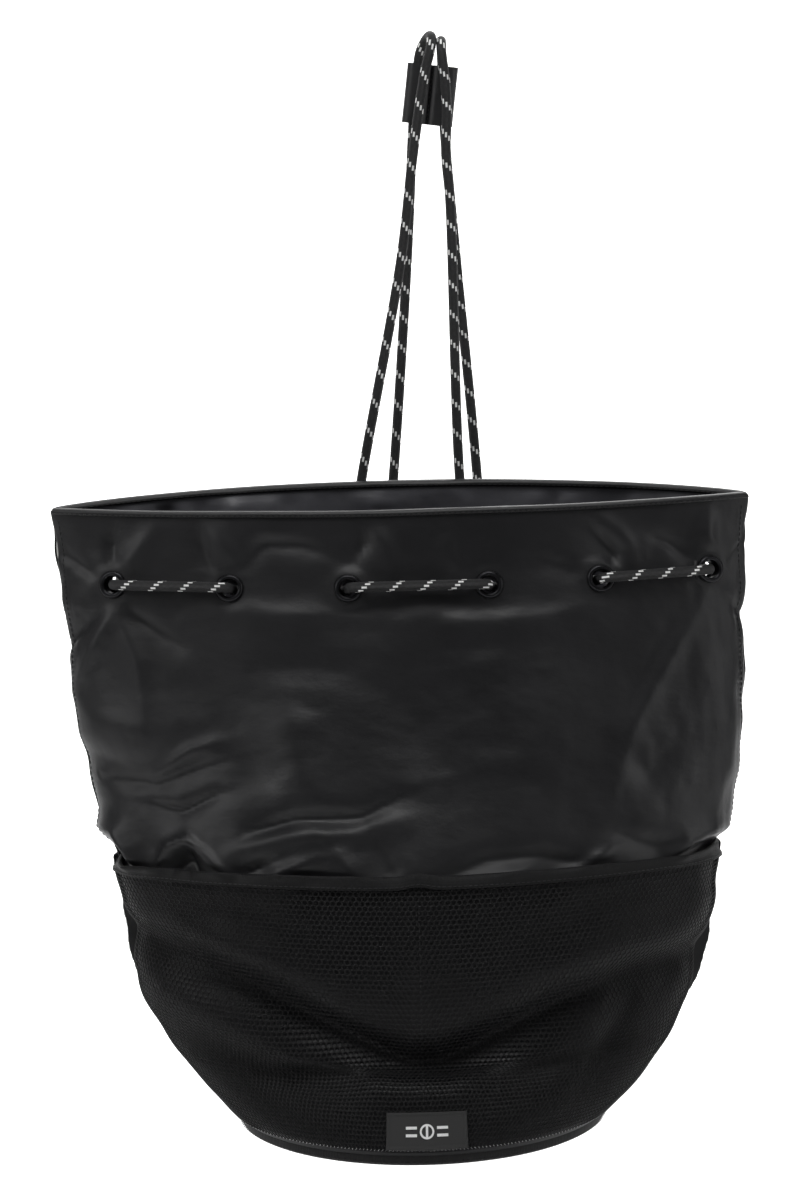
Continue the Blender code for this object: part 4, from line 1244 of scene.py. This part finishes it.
class BagWall(bpy.types.Operator):
    """Make the satin shells, their wadding and the lining, all with the same folds"""

    bl_idname = "ballbag.wall"
    bl_label = "Wall"

    def execute(self, context):
        outer = shared_finish("satin_nylon", satin, tuple(looks().satin), 0.44)
        inner = shared_finish("lining_cloth", satin, tuple(looks().lining), 0.40)
        wadding = shared_finish("wadding_fill", foam_finish, (0.55, 0.55, 0.53))
        for side in ("front", "back"):
            for layer, low, high, rows, columns, finish, slot in (
                ("shell", 0.0039, WALL, 166, 184, outer, "satin_shell"),
                ("lining", 0.0, 0.0008, 166, 184, inner, "lining"),
                ("wadding", 0.0017, 0.0029, 166, 184, wadding, "wadding"),
            ):
                angle, level, cloth = panel_grid(side, np.linspace(0.0, 1.0, rows), columns, 0.0008)
                keep = None
                if layer != "wadding":
                    angle, level, keep = open_eyelets(side, angle, level)
                else:
                    keep = self.clear_of_eyelets(side, angle, level)
                near, far = skin(angle, level, low), skin(angle, level, high)
                nodes = {"shell": f"shell_{side}", "lining": f"lining_{side}", "wadding": f"padding_{side}"}
                name = {"shell": "satin_shell", "lining": "satin_lining", "wadding": "wall_wadding"}[layer]
                mesh = sheet_mesh(f"{name}_{side}", near, far, cloth, keep)
                piece = put(f"{name}_{side}", mesh, finish, "bag", (nodes[layer],))
                layer == "wadding"
        return {"FINISHED"}

    def clear_of_eyelets(self, side, angle, level):
        """Which of the wadding's cells stay, clear of the eyelets' barrels."""
        middle = lining_point((angle[:-1, :-1] + angle[1:, 1:]) / 2.0, (level[:-1, :-1] + level[1:, 1:]) / 2.0)
        keep = np.ones(middle.shape[:2], bool)
        for x in EYELETS[side][0]:
            centre = np.array(eyelet_frame(side, x).translation)
            keep &= np.linalg.norm(middle - centre, axis=-1) > 0.0105
        return keep


class RimHems(bpy.types.Operator):
    """Wrap the rolled hem round the rim and sew it"""

    bl_idname = "ballbag.hems"
    bl_label = "Rim hems"

    def execute(self, context):
        finish = shared_finish("hem_satin", satin, tuple(0.6 * c for c in looks().satin), 0.46)
        rows = []
        for side in ("front", "back"):
            angle, _, _ = panel_grid(side, np.array([0.0]), 190, 0.0016)
            angle = angle[0]
            out, inn = WALL + 0.0004, -0.0004
            thick = 0.0008
            bottom = HEM_DEPTH
            section = [(bottom, out), (bottom, out + thick * 0.9)]
            section += [(lv, out + thick * 1.25) for lv in (0.0046, 0.0030, 0.0012)]
            middle, reach = WALL / 2.0, WALL / 2.0 + 0.0009
            section += [
                (0.0004 - 0.0052 * sin(t), middle + reach * cos(t)) for t in np.linspace(0.12 * pi, 0.88 * pi, 7)
            ]
            section += [(lv, inn - thick * 1.25) for lv in (0.0012, 0.0030, 0.0046)]
            section += [(bottom, inn - thick * 0.9), (bottom, inn), (0.0034, inn - 0.0001), (0.0022, middle),
                        (0.0034, out + 0.0001)]
            rings = np.stack([skin(angle, np.full_like(angle, lv), off) for lv, off in section], 1)
            cloth = np.zeros((rings.shape[0] * rings.shape[1], 2))
            cloth[:, 0] = np.repeat(np.linspace(0.0, 0.42, rings.shape[0]), rings.shape[1])
            cloth[:, 1] = np.tile(np.linspace(0.0, 0.018, rings.shape[1]), rings.shape[0])
            mesh = swept(f"rolled_hem_{side}", rings, maps={"cloth": cloth})
            put(f"rolled_hem_{side}", mesh, finish, "bag", (f"rim_hem_{side}",))
            rows += [skin(angle, np.full_like(angle, 0.0040), out + thick * 1.25 + 0.00010),
                     skin(angle, np.full_like(angle, 0.0040), inn - thick * 1.25 - 0.00010)]
        stitch("hem_stitches", rows, 0.0032)
        return {"FINISHED"}


class MeshPockets(bpy.types.Operator):
    """Knit the air-mesh pockets, fold their bands over and sew them down"""

    bl_idname = "ballbag.pockets"
    bl_label = "Mesh pockets"

    def cell(self):
        """One knitted cell, a pitch of 1 wide: a six-sided ring, highest on its outer edge."""
        height, low = 0.00042, -0.00022
        points, faces = [], []
        for k in range(6):
            turn = pi / 6.0 + k * pi / 3.0
            for reach, z in ((1.0 / sqrt(3.0), height), (1.0 / sqrt(3.0), low), (HOLE / sqrt(3.0), 0.0)):
                points.append((reach * cos(turn), reach * sin(turn), z / looks().net_pitch))
        for k in range(6):
            a, b = 3 * k, 3 * ((k + 1) % 6)
            faces += [(a, b, b + 2, a + 2), (a + 2, b + 2, b + 1, a + 1)]
        mesh = bpy.data.meshes.new("knit_cell")
        mesh.from_pydata(points, [], faces)
        made = bpy.data.objects.new("knit_cell", mesh)
        bpy.context.scene.collection.objects.link(made)
        return made

    def close_edges(self, mesh):
        """Wall in the cut edge between the net's face and its underside."""
        bm = bmesh.new()
        bm.from_mesh(mesh)
        rim = [e for e in bm.edges if e.is_boundary]
        places = {v: v.co for e in rim for v in e.verts}
        joined = {v: {e.other_vert(v) for e in v.link_edges if e.is_boundary} for v in places}
        tree = KDTree(len(places))
        verts = list(places)
        for k, v in enumerate(verts):
            tree.insert(v.co, k)
        tree.balance()
        facing = {}
        for v in verts:
            near = [verts[k] for _, k, d in tree.find_range(v.co, 0.0009) if verts[k] is not v]
            near = [w for w in near if w not in joined[v]]
            if near:
                facing[v] = min(near, key=lambda w: (w.co - v.co).length)
        done = set()
        for e in rim:
            a, b = e.verts
            c, d = facing.get(a), facing.get(b)
            if c is None or d is None or c is d or d not in joined.get(c, ()):
                continue
            key = frozenset((a, b, c, d))
            if len(key) == 4 and key not in done:
                done.add(key)
                bm.faces.new((a, b, d, c))
        bmesh.ops.recalc_face_normals(bm, faces=bm.faces)
        bm.to_mesh(mesh)
        bm.free()

    def execute(self, context):
        finish = shared_finish("air_mesh_yarn", net_cloth, tuple(looks().net))
        tape = shared_finish("band_tape", woven, (0.0085, 0.0085, 0.0090), 0.0011)
        pitch = looks().net_pitch
        cell = self.cell()
        tree = net_tree()
        rows_of_stitches, seams = [], []
        for side in ("front", "back"):
            angle, level, _ = panel_grid(side, np.linspace(POCKET_TOP + 0.004, 0.996, 90), 220, 0.0010)
            stand = pocket_stand(angle, level) + 0.0007
            points = skin(angle, level, stand, "net")
            step_across = np.linalg.norm(np.diff(points[30], axis=0), axis=1)
            step_down = np.linalg.norm(np.diff(points[:, 110], axis=0), axis=1)
            across = np.concatenate(([0.0], np.cumsum(step_across)))
            down = np.concatenate(([0.0], np.cumsum(step_down)))
            width, drop = float(across[-1]), float(down[-1])
            cloth = np.stack(np.broadcast_arrays(across[None, :], down[:, None]), -1)
            index = np.arange(level.size).reshape(level.shape)
            faces = np.stack((index[:-1, :-1], index[:-1, 1:], index[1:, 1:], index[1:, :-1]), -1).reshape(-1, 4)
            base = bpy.data.meshes.new(f"net_cloth_{side}")
            base.from_pydata([tuple(p) for p in points.reshape(-1, 3)], [], faces.tolist())
            layer = base.uv_layers.new(name="net")
            corners = np.empty(len(base.loops), dtype=np.int32)
            base.loops.foreach_get("vertex_index", corners)
            layer.data.foreach_set("uv", (cloth.reshape(-1, 2)[corners] / CLOTH_SPAN).astype(np.float32).ravel())
            base.update()
            if base.polygons[9000].normal.y * (1.0 if side == "back" else -1.0) < 0.0:
                base.flip_normals()
            # whole cells only, so that the net's cut edge is a clean one
            columns = int(width / pitch - 0.55)
            rows = int((drop / pitch - 2.0 / sqrt(3.0) - 0.05) / (sqrt(3.0) / 2.0)) + 1
            values = {
                "Cell": cell, "Pitch": pitch, "Width": (columns - 1) * pitch,
                "Drop": (rows - 1) * pitch * sqrt(3.0) / 2.0, "Columns": columns, "Rows": rows,
                "Left": (width - (columns - 1) * pitch) / 2.0,
                "Top": (drop - (rows - 1) * pitch * sqrt(3.0) / 2.0) / 2.0, "Span": CLOTH_SPAN,
            }
            mesh = grown(f"air_mesh_{side}", base, tree, values, finish)
            self.close_edges(mesh)
            mesh.shade_smooth()
            piece = put(f"air_mesh_{side}", mesh, None, "bag", (f"mesh_pocket_{side}",))
            self.band(side, tape, rows_of_stitches)
            middle = np.full(60, STARTS[side] + pi / 2.0)
            lv = np.linspace(POCKET_TOP + 0.03, 0.99, 60)
            seams.append(skin(middle, lv, pocket_stand(middle, lv) + 0.0012, "net"))
        bpy.data.objects.remove(cell)
        stitch("band_stitches", rows_of_stitches, 0.0030)
        stitch("pocket_seam_stitches", seams, 0.0034, 0.6)
        return {"FINISHED"}

    def band(self, side, finish, rows):
        """The tape folded over the top of the pockets, with a small peak at the middle tack."""
        angle, _, _ = panel_grid(side, np.array([POCKET_TOP]), 200, 0.0012)
        angle = angle[0]
        peak = np.exp(-(((angle - STARTS[side] - pi / 2.0) / 0.045) ** 2)) * 0.005
        top, bottom = POCKET_TOP - 0.0075, POCKET_TOP + 0.0150
        section = []
        for lv, off in (
            (bottom, 0.0022), (bottom - 0.001, 0.0028), (bottom - 0.004, 0.0026), (POCKET_TOP + 0.002, 0.0028),
            (top + 0.004, 0.0028), (top + 0.0006, 0.0022), (top, 0.0008), (top + 0.0006, -0.0006),
            (top + 0.004, -0.0010), (bottom - 0.003, -0.0006), (bottom - 0.002, 0.0000), (top + 0.006, 0.0002),
            (top + 0.006, 0.0016), (bottom - 0.002, 0.0018),
        ):
            stand = pocket_stand(angle, np.full_like(angle, POCKET_TOP)) + off
            section.append(skin(angle, np.full_like(angle, lv) - peak, stand, "net"))
        rings = np.stack(section, 1)
        cloth = np.zeros((rings.shape[0] * rings.shape[1], 2))
        cloth[:, 0] = np.repeat(np.linspace(0.0, 0.42, rings.shape[0]), rings.shape[1])
        cloth[:, 1] = np.tile(np.linspace(0.0, 0.030, rings.shape[1]), rings.shape[0])
        mesh = swept(f"folded_band_{side}", rings, maps={"cloth": cloth})
        put(f"folded_band_{side}", mesh, finish, "bag", (f"pocket_band_{side}",))
        stand = pocket_stand(angle, np.full_like(angle, POCKET_TOP)) + 0.0030
        rows.append(skin(angle, np.full_like(angle, bottom - 0.0045) - peak, stand, "net"))


class BagBase(bpy.types.Operator):
    """Make the padded base, its piping, its lining and the rubber label above it"""

    bl_idname = "ballbag.base"
    bl_label = "Base and label"

    def execute(self, context):
        cloth_finish = shared_finish("base_canvas", woven, (0.0080, 0.0080, 0.0085), 0.0009)
        lining = shared_finish("lining_cloth", satin, tuple(looks().lining), 0.40)
        rim = BASE_RADIUS + 0.0042
        crown = lambda r: -0.0063 - 0.0012 * (1.0 - (r / rim) ** 2)
        profile = [(rim, -0.0003), (rim + 0.0002, -0.0020), (rim, -0.0040), (rim - 0.0010, -0.0056),
                   (rim - 0.0026, -0.0064)]
        profile += [(r, crown(r)) for r in np.linspace(rim - 0.010, 0.004, 30)]
        profile += [(r, -0.0048) for r in np.linspace(0.004, rim - 0.004, 8)]
        profile += [(rim - 0.0016, -0.0040), (rim - 0.0013, -0.0003)]
        self.disc("base_cover", profile, cloth_finish, "base_cloth", ("base_panel",), 0.0)
        inside = rim - 0.0019
        puff = lambda r: -0.0004 + 0.0007 * (1.0 - (r / inside) ** 6)
        top = [(r, puff(r)) for r in np.linspace(inside, 0.003, 26)]
        low = [(r, -0.0012) for r in np.linspace(0.003, inside, 6)]
        self.disc("base_lining_pad", top[::-1] + low[::-1], lining, "lining", ("base_lining",), 0.0)
        out = rim + 0.0001
        seam = [
            tuple(BAG_TO_WORLD @ base_matrix(-0.0046) @ Vector((out * cos(t), out * sin(t), 0.0)))
            for t in np.linspace(0.0, 2.0 * pi, 361)
        ]
        stitch("base_stitches", [seam], 0.0034)
        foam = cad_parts["base_foam"]
        foam.data.materials.clear()
        foam.data.materials.append(shared_finish("base_foam_cells", foam_finish, (0.10, 0.10, 0.10)))
        self.label()
        return {"FINISHED"}

    def disc(self, name, profile, finish, slot, nodes, height):
        """A turned disc with its centre closed, set on the tilted base."""
        steps = 144
        profile = np.asarray(profile)
        turn = 2.0 * pi * np.arange(steps) / steps
        points = np.stack((
            np.cos(turn)[:, None] * profile[:, 0], np.sin(turn)[:, None] * profile[:, 0],
            np.broadcast_to(profile[:, 1], (steps, len(profile))),
        ), -1)
        place = np.array(BAG_TO_WORLD @ base_matrix(height))
        flat = points.reshape(-1, 3)
        index = np.arange(len(flat)).reshape(steps, len(profile))
        side = np.roll(index, -1, axis=0)
        body = []
        centre = int(np.argmin(profile[:, 0]))
        for k in range(len(profile)):
            j = (k + 1) % len(profile)
            if profile[k, 0] < 0.0045 and profile[j, 0] < 0.0045:
                body += [index[:, k].tolist(), index[:, j].tolist()[::-1]]
                continue
            body += np.stack((index[:, k], side[:, k], side[:, j], index[:, j]), -1).tolist()
        world = flat @ place[:3, :3].T + place[:3, 3]
        mesh = faceted(name, world, body, {"cloth": flat[:, :2]})
        mesh.set_sharp_from_angle(angle=radians(50.0))
        return put(name, mesh, finish, "bag", nodes)

    def label(self):
        """A rubber patch with a raised border and a plain ball emblem."""
        finish = shared_finish("label_rubber", moulded, (0.0075, 0.0075, 0.0080), 0.55)
        pale = shared_finish("emblem_rubber", moulded, (0.80, 0.80, 0.80), 0.50)
        rows, columns = 40, 90
        top, bottom = LABEL_ROWS
        level = np.linspace(top, bottom, rows)[:, None]
        u = np.linspace(-LABEL_HALF[0], LABEL_HALF[0], columns)[None, :]
        angle = 1.5 * pi + 0.012 + u / cage(level)[..., 0]
        angle, level = np.broadcast_arrays(angle, level)
        v = np.linspace(-LABEL_HALF[1], LABEL_HALF[1], rows)[:, None]
        edge = np.minimum(LABEL_HALF[0] - np.abs(u), LABEL_HALF[1] - np.abs(v)) * 1000.0
        relief = np.where(edge < 1.3, 0.00045 * smooth(0.0, 0.35, edge), 0.00045 * (1.0 - smooth(1.3, 1.7, edge)))
        plain = lambda lift: self.patch_skin(angle, level, lift)
        near, far = plain(0.0012), plain(0.0026 + relief)
        cloth = np.stack(np.broadcast_arrays(u, v), -1)
        piece = put("rubber_label", sheet_mesh("rubber_label", near, far, cloth), finish, "bag",
                    ("label_patch",))
        # the emblem: a ring for the ball with two bars either side of it
        shapes = [self.ring(0.0, 0.0, 0.0038, 0.0028, 40)]
        for x in (-0.0082, 0.0082):
            for y in (-0.0019, 0.0019):
                shapes.append([(x - 0.0029, y - 0.0007), (x + 0.0029, y - 0.0007), (x + 0.0029, y + 0.0007),
                               (x - 0.0029, y + 0.0007)])
        shapes += [[(-0.0006, -0.0028), (0.0006, -0.0028), (0.0006, 0.0028), (-0.0006, 0.0028)]]
        points, faces = [], []
        for shape in shapes:
            ring = isinstance(shape, tuple)
            outer = shape[0] if ring else shape
            inner = shape[1] if ring else None
            start = len(points)
            count = len(outer)
            for loop in ([outer, inner] if ring else [outer]):
                for lift in (0.00262, 0.00305):
                    for x, y in loop:
                        lv = np.array((top + bottom) / 2.0 - y * (bottom - top) / (2.0 * LABEL_HALF[1]))
                        a = 1.5 * pi + 0.012 + x / cage(lv)[0]
                        points.append(tuple(self.patch_skin(a, lv, np.array(lift))))
            for k in range(count):
                j = (k + 1) % count
                low, high = start, start + count
                faces.append((low + k, low + j, high + j, high + k))
                if ring:
                    low2, high2 = start + 2 * count, start + 3 * count
                    faces += [(low2 + j, low2 + k, high2 + k, high2 + j), (high + k, high + j, high2 + j, high2 + k),
                              (low + j, low + k, low2 + k, low2 + j)]
            if not ring:
                faces += [tuple(range(start + count, start + 2 * count)), tuple(range(start, start + count))[::-1]]
        put("label_emblem", faceted("label_emblem", points, faces, smooth_shade=False), pale, "bag")

    def ring(self, x, y, outer, inner, count):
        turn = 2.0 * pi * np.arange(count) / count
        loop = lambda r: [(x + r * cos(t), y + r * sin(t)) for t in turn]
        return (loop(outer), loop(inner))

    def patch_skin(self, angle, level, lift):
        """The label lies over the mesh without its finer folds."""
        stand = pocket_stand(angle, level) + 0.0004
        calm = wall_lift(np.full_like(np.asarray(angle, float), 1.5 * pi + 0.012), np.asarray(level, float), "net")
        points = lining_point(angle, level)
        return to_world(points + outward(angle, level) * (stand + lift + calm)[..., None])


class Eyelets(bpy.types.Operator):
    """Set the black eyelets and their washers in the wall"""

    bl_idname = "ballbag.eyelets"
    bl_label = "Eyelets"

    def execute(self, context):
        finish = shared_finish("black_plating", dark_metal, (0.020, 0.020, 0.022))
        arc = lambda cx, cz, r, a, b, n: [
            (cx + r * cos(t), cz + r * sin(t)) for t in np.linspace(radians(a), radians(b), n)
        ]
        dome = arc(0.0065, WALL + 0.0004, 0.0015, 180.0, 8.0, 12)
        barrel = dome + [(0.0080, WALL + 0.00025), (0.0056, WALL + 0.00025), (0.0055, 0.0)]
        barrel += arc(0.0059, -0.0016, 0.0009, 20.0, -180.0, 8) + [(0.0050, 0.0)]
        washer = [(0.0062, -0.00050), (0.0080, -0.00045), (0.0082, -0.00075), (0.0080, -0.0011), (0.0062, -0.0011)]
        tree = eyelet_tree()
        for name, profile, kind in (("eyelets", barrel, "eyelet"), ("eyelet_washers", washer, "washer")):
            points, faces = turned(profile, 48)
            piece = bpy.data.objects.new(f"{name}_profile", faceted(f"{name}_profile", points, faces))
            bpy.context.scene.collection.objects.link(piece)
            piece.data.set_sharp_from_angle(angle=radians(40.0))
            for side in ("front", "back"):
                frames = [BAG_TO_WORLD @ eyelet_frame(side, x) for x in EYELETS[side][0]]
                base = bpy.data.meshes.new(f"{name}_{side}_places")
                base.from_pydata([tuple(f.translation) for f in frames], [], [])
                facing = base.attributes.new("facing", "FLOAT_VECTOR", "POINT")
                facing.data.foreach_set("vector", [c for f in frames for c in f.to_3x3() @ Vector((0, 0, 1))])
                mesh = grown(f"{name}_{side}", base, tree, {"Piece": piece, "Size": 1.0}, finish)
                put(f"{name}_{side}", mesh, None, "bag",
                    tuple(f"{kind}_{side}_{k}" for k in range(1, 7)))
            bpy.data.objects.remove(piece)
        return {"FINISHED"}


class LeatherPieces(bpy.types.Operator):
    """Fold and sew the cord keeper and the two anchor tabs"""

    bl_idname = "ballbag.leather"
    bl_label = "Keeper and tabs"

    def execute(self, context):
        finish = shared_finish("coated_leather", hide, tuple(looks().leather))
        self.keeper(finish)
        for side, name in ((-1, "left"), (1, "right")):
            self.tab(side, name, finish)
        return {"FINISHED"}

    def outline(self, half, thick, centre, count):
        """A slot outline with round ends, as points round it."""
        points = []
        for end, start in ((1.0, -0.5 * pi), (-1.0, 0.5 * pi)):
            for k in range(count + 1):
                t = start + pi * k / count
                points.append((centre + end * (half - thick) + thick * cos(t), thick * sin(t)))
        return np.array(points)

    def keeper(self, finish):
        """Two flat sleeves of one folded strip, pinched together along the middle seam."""
        width, height = KEEPER_SIZE
        pieces, seam_rows = [], []
        place = np.array(Matrix.Translation(KEEPER_PLACE) @ Matrix.Rotation(KEEPER_TURN[1], 4, "Y")
                         @ Matrix.Rotation(KEEPER_TURN[0], 4, "X"))
        rows = np.linspace(-1.0, 1.0, 25)
        for side in (-1.0, 1.0):
            centre = side * 0.0076
            outer = self.outline(0.0077, 0.0048, centre, 14)
            inner = self.outline(0.0069, 0.0038, centre, 14)
            rings = []
            for loop, sign in ((outer, 1), (inner, -1)):
                stack = []
                for r in rows[::sign]:
                    curl = 0.00035 * np.sin(r * 2.2 + side) + 0.0004 * abs(r) ** 6
                    spread = 1.0 + 0.012 * r * r
                    points = np.column_stack((
                        centre + (loop[:, 0] - centre) * spread, loop[:, 1] * (1.0 + 0.03 * r * r) + curl * 0.3,
                        np.full(len(loop), r * height / 2.0),
                    ))
                    stack.append(points)
                rings += stack
            rings.append(rings[0])
            rings = np.array(rings)
            steps, count = rings.shape[0] - 1, rings.shape[1]
            index = np.arange(steps * count).reshape(steps, count)
            after, up = np.roll(index, -1, axis=1), np.roll(index, -1, axis=0)
            faces = np.stack((index, after, np.roll(up, -1, axis=1), up), -1).reshape(-1, 4).tolist()
            flat = rings[:-1].reshape(-1, 3)
            pieces.append((flat @ place[:3, :3].T + place[:3, 3], faces))
        points = np.concatenate([p for p, _ in pieces])
        count = len(pieces[0][0])
        faces = pieces[0][1] + [[i + count for i in f] for f in pieces[1][1]]
        mesh = faceted("keeper_sleeves", points, faces)
        mesh.set_sharp_from_angle(angle=radians(48.0))
        put("keeper_sleeves", mesh, finish, "keeper", ("cord_keeper",))
        for y in (-0.0040, 0.0040):
            foot = height / 2.0 - 0.002
            line = [np.array((0.0, y * 0.75, z)) for z in np.linspace(-foot, foot, 12)]
            seam_rows.append([tuple(place[:3, :3] @ p + place[:3, 3]) for p in line])
        stitch("keeper_stitches", seam_rows, 0.0026, body="keeper")

    def tab(self, side, name, finish):
        """A folded tab with a hollow top for the cord, sewn across its foot."""
        place = tab_frame(side)
        wide, thick, tall = TAB_SIZE
        bm = bmesh.new()
        count, rows = 40, 22
        rings = []
        for r in np.linspace(-1.0, 1.0, rows):
            half_thick = thick / 2.0 * (1.0 - 0.55 * float(smooth(0.1, 0.9, -r)))
            half_wide = wide / 2.0 * (1.0 - 0.10 * float(smooth(0.3, 1.0, r)))
            ring = []
            for k in range(count):
                t = 2.0 * pi * k / count
                c, s = cos(t), sin(t)
                x = half_wide * np.sign(c) * abs(c) ** 0.45
                y = half_thick * np.sign(s) * abs(s) ** 0.7
                ring.append((x, y, r * tall / 2.0))
            rings.append(ring)
        for depth_share, radius in ((0.0, 0.0038), (0.25, 0.0034), (1.0, 0.0033)):
            ring = [(radius * cos(2 * pi * k / count), radius * sin(2 * pi * k / count),
                     tall / 2.0 - depth_share * TAB_SOCKET_DEPTH) for k in range(count)]
            rings.append(ring)
        rings = np.array(rings)
        flat = rings.reshape(-1, 3)
        turn = np.array(place)
        world = flat @ turn[:3, :3].T + turn[:3, 3]
        mesh = swept(f"anchor_{name}", world.reshape(rings.shape))
        mesh.set_sharp_from_angle(angle=radians(45.0))
        put(f"anchor_{name}", mesh, finish, "bag", (f"anchor_tab_{name}",))
        lines = []
        for z in (-0.0085, -0.0050):
            line = [place @ Vector((x, 0.0031, z)) for x in np.linspace(-0.0075, 0.0075, 8)]
            lines.append([tuple(p) for p in line])
        stitch(f"anchor_{name}_stitches", lines, 0.0026)


class SideSeams(bpy.types.Operator):
    """Sew the two side seams from the rim to the base"""

    bl_idname = "ballbag.seams"
    bl_label = "Side seams"

    def execute(self, context):
        lines = []
        for start, way in ((pi, 1.0), (pi, -1.0), (2.0 * pi, -1.0), (0.0, 1.0)):
            level = np.linspace(0.02, 0.55, 90)
            depth = cage(level)[:, 2]
            edge = (0.0030 / depth) ** (1.0 / (1.4 - 0.4 * smooth(0.0, 0.8, level)))
            angle = start + way * edge
            angle = np.where(angle > 2.0 * pi - 1e-6, angle - 2.0 * pi, angle)
            lines.append(skin(angle, level, WALL + 0.00015))
        stitch("side_seam_stitches", lines, 0.0032)
        tape = shared_finish("band_tape", woven, (0.0085, 0.0085, 0.0090), 0.0011)
        level = np.linspace(POCKET_TOP + 0.012, 0.994, 90)
        for side, middle in (("left", pi), ("right", 0.0)):
            edge = (0.0060 / cage(level)[:, 2]) ** (1.0 / (1.4 - 0.4 * smooth(0.0, 0.8, level)))
            section = []
            shares = (-1.0, -0.5, -0.1, 0.1, 0.5, 1.0)
            for off, way in ((0.0004, 1), (-0.0004, -1)):
                for share in shares[::way]:
                    angle = (middle + share * edge) % (2.0 * pi)
                    section.append(skin(angle, level, pocket_stand(angle, level) + off, "net"))
            mesh = swept(f"net_edge_tape_{side}", np.stack(section, 1))
            put(f"net_edge_tape_{side}", mesh, tape, "bag")
        return {"FINISHED"}


class BallBagPanel(bpy.types.Panel):
    """The bag's steps and settings"""

    bl_idname = "VIEW3D_PT_ball_bag"
    bl_label = "Ball Bag"
    bl_space_type = "VIEW_3D"
    bl_region_type = "UI"
    bl_category = "Ball Bag"

    def draw(self, context):
        for key in BallBagLooks.__annotations__:
            self.layout.prop(context.scene.ball_bag_looks, key)
        for step in STEPS:
            self.layout.operator(step.bl_idname)


STEPS = (StudioStage, Drawcord, BagWall, RimHems, MeshPockets, BagBase, Eyelets, LeatherPieces, SideSeams)


def register():
    for kind in (BallBagLooks, *STEPS, BallBagPanel):
        bpy.utils.register_class(kind)
    bpy.types.Scene.ball_bag_looks = bpy.props.PointerProperty(type=BallBagLooks)


def unregister():
    del bpy.types.Scene.ball_bag_looks
    for kind in (BallBagPanel, *reversed(STEPS), BallBagLooks):
        bpy.utils.unregister_class(kind)


def main():
    register()
    for step in STEPS:
        group, name = step.bl_idname.split(".")
        getattr(getattr(bpy.ops, group), name)()


if __name__ == "__main__":
    main()
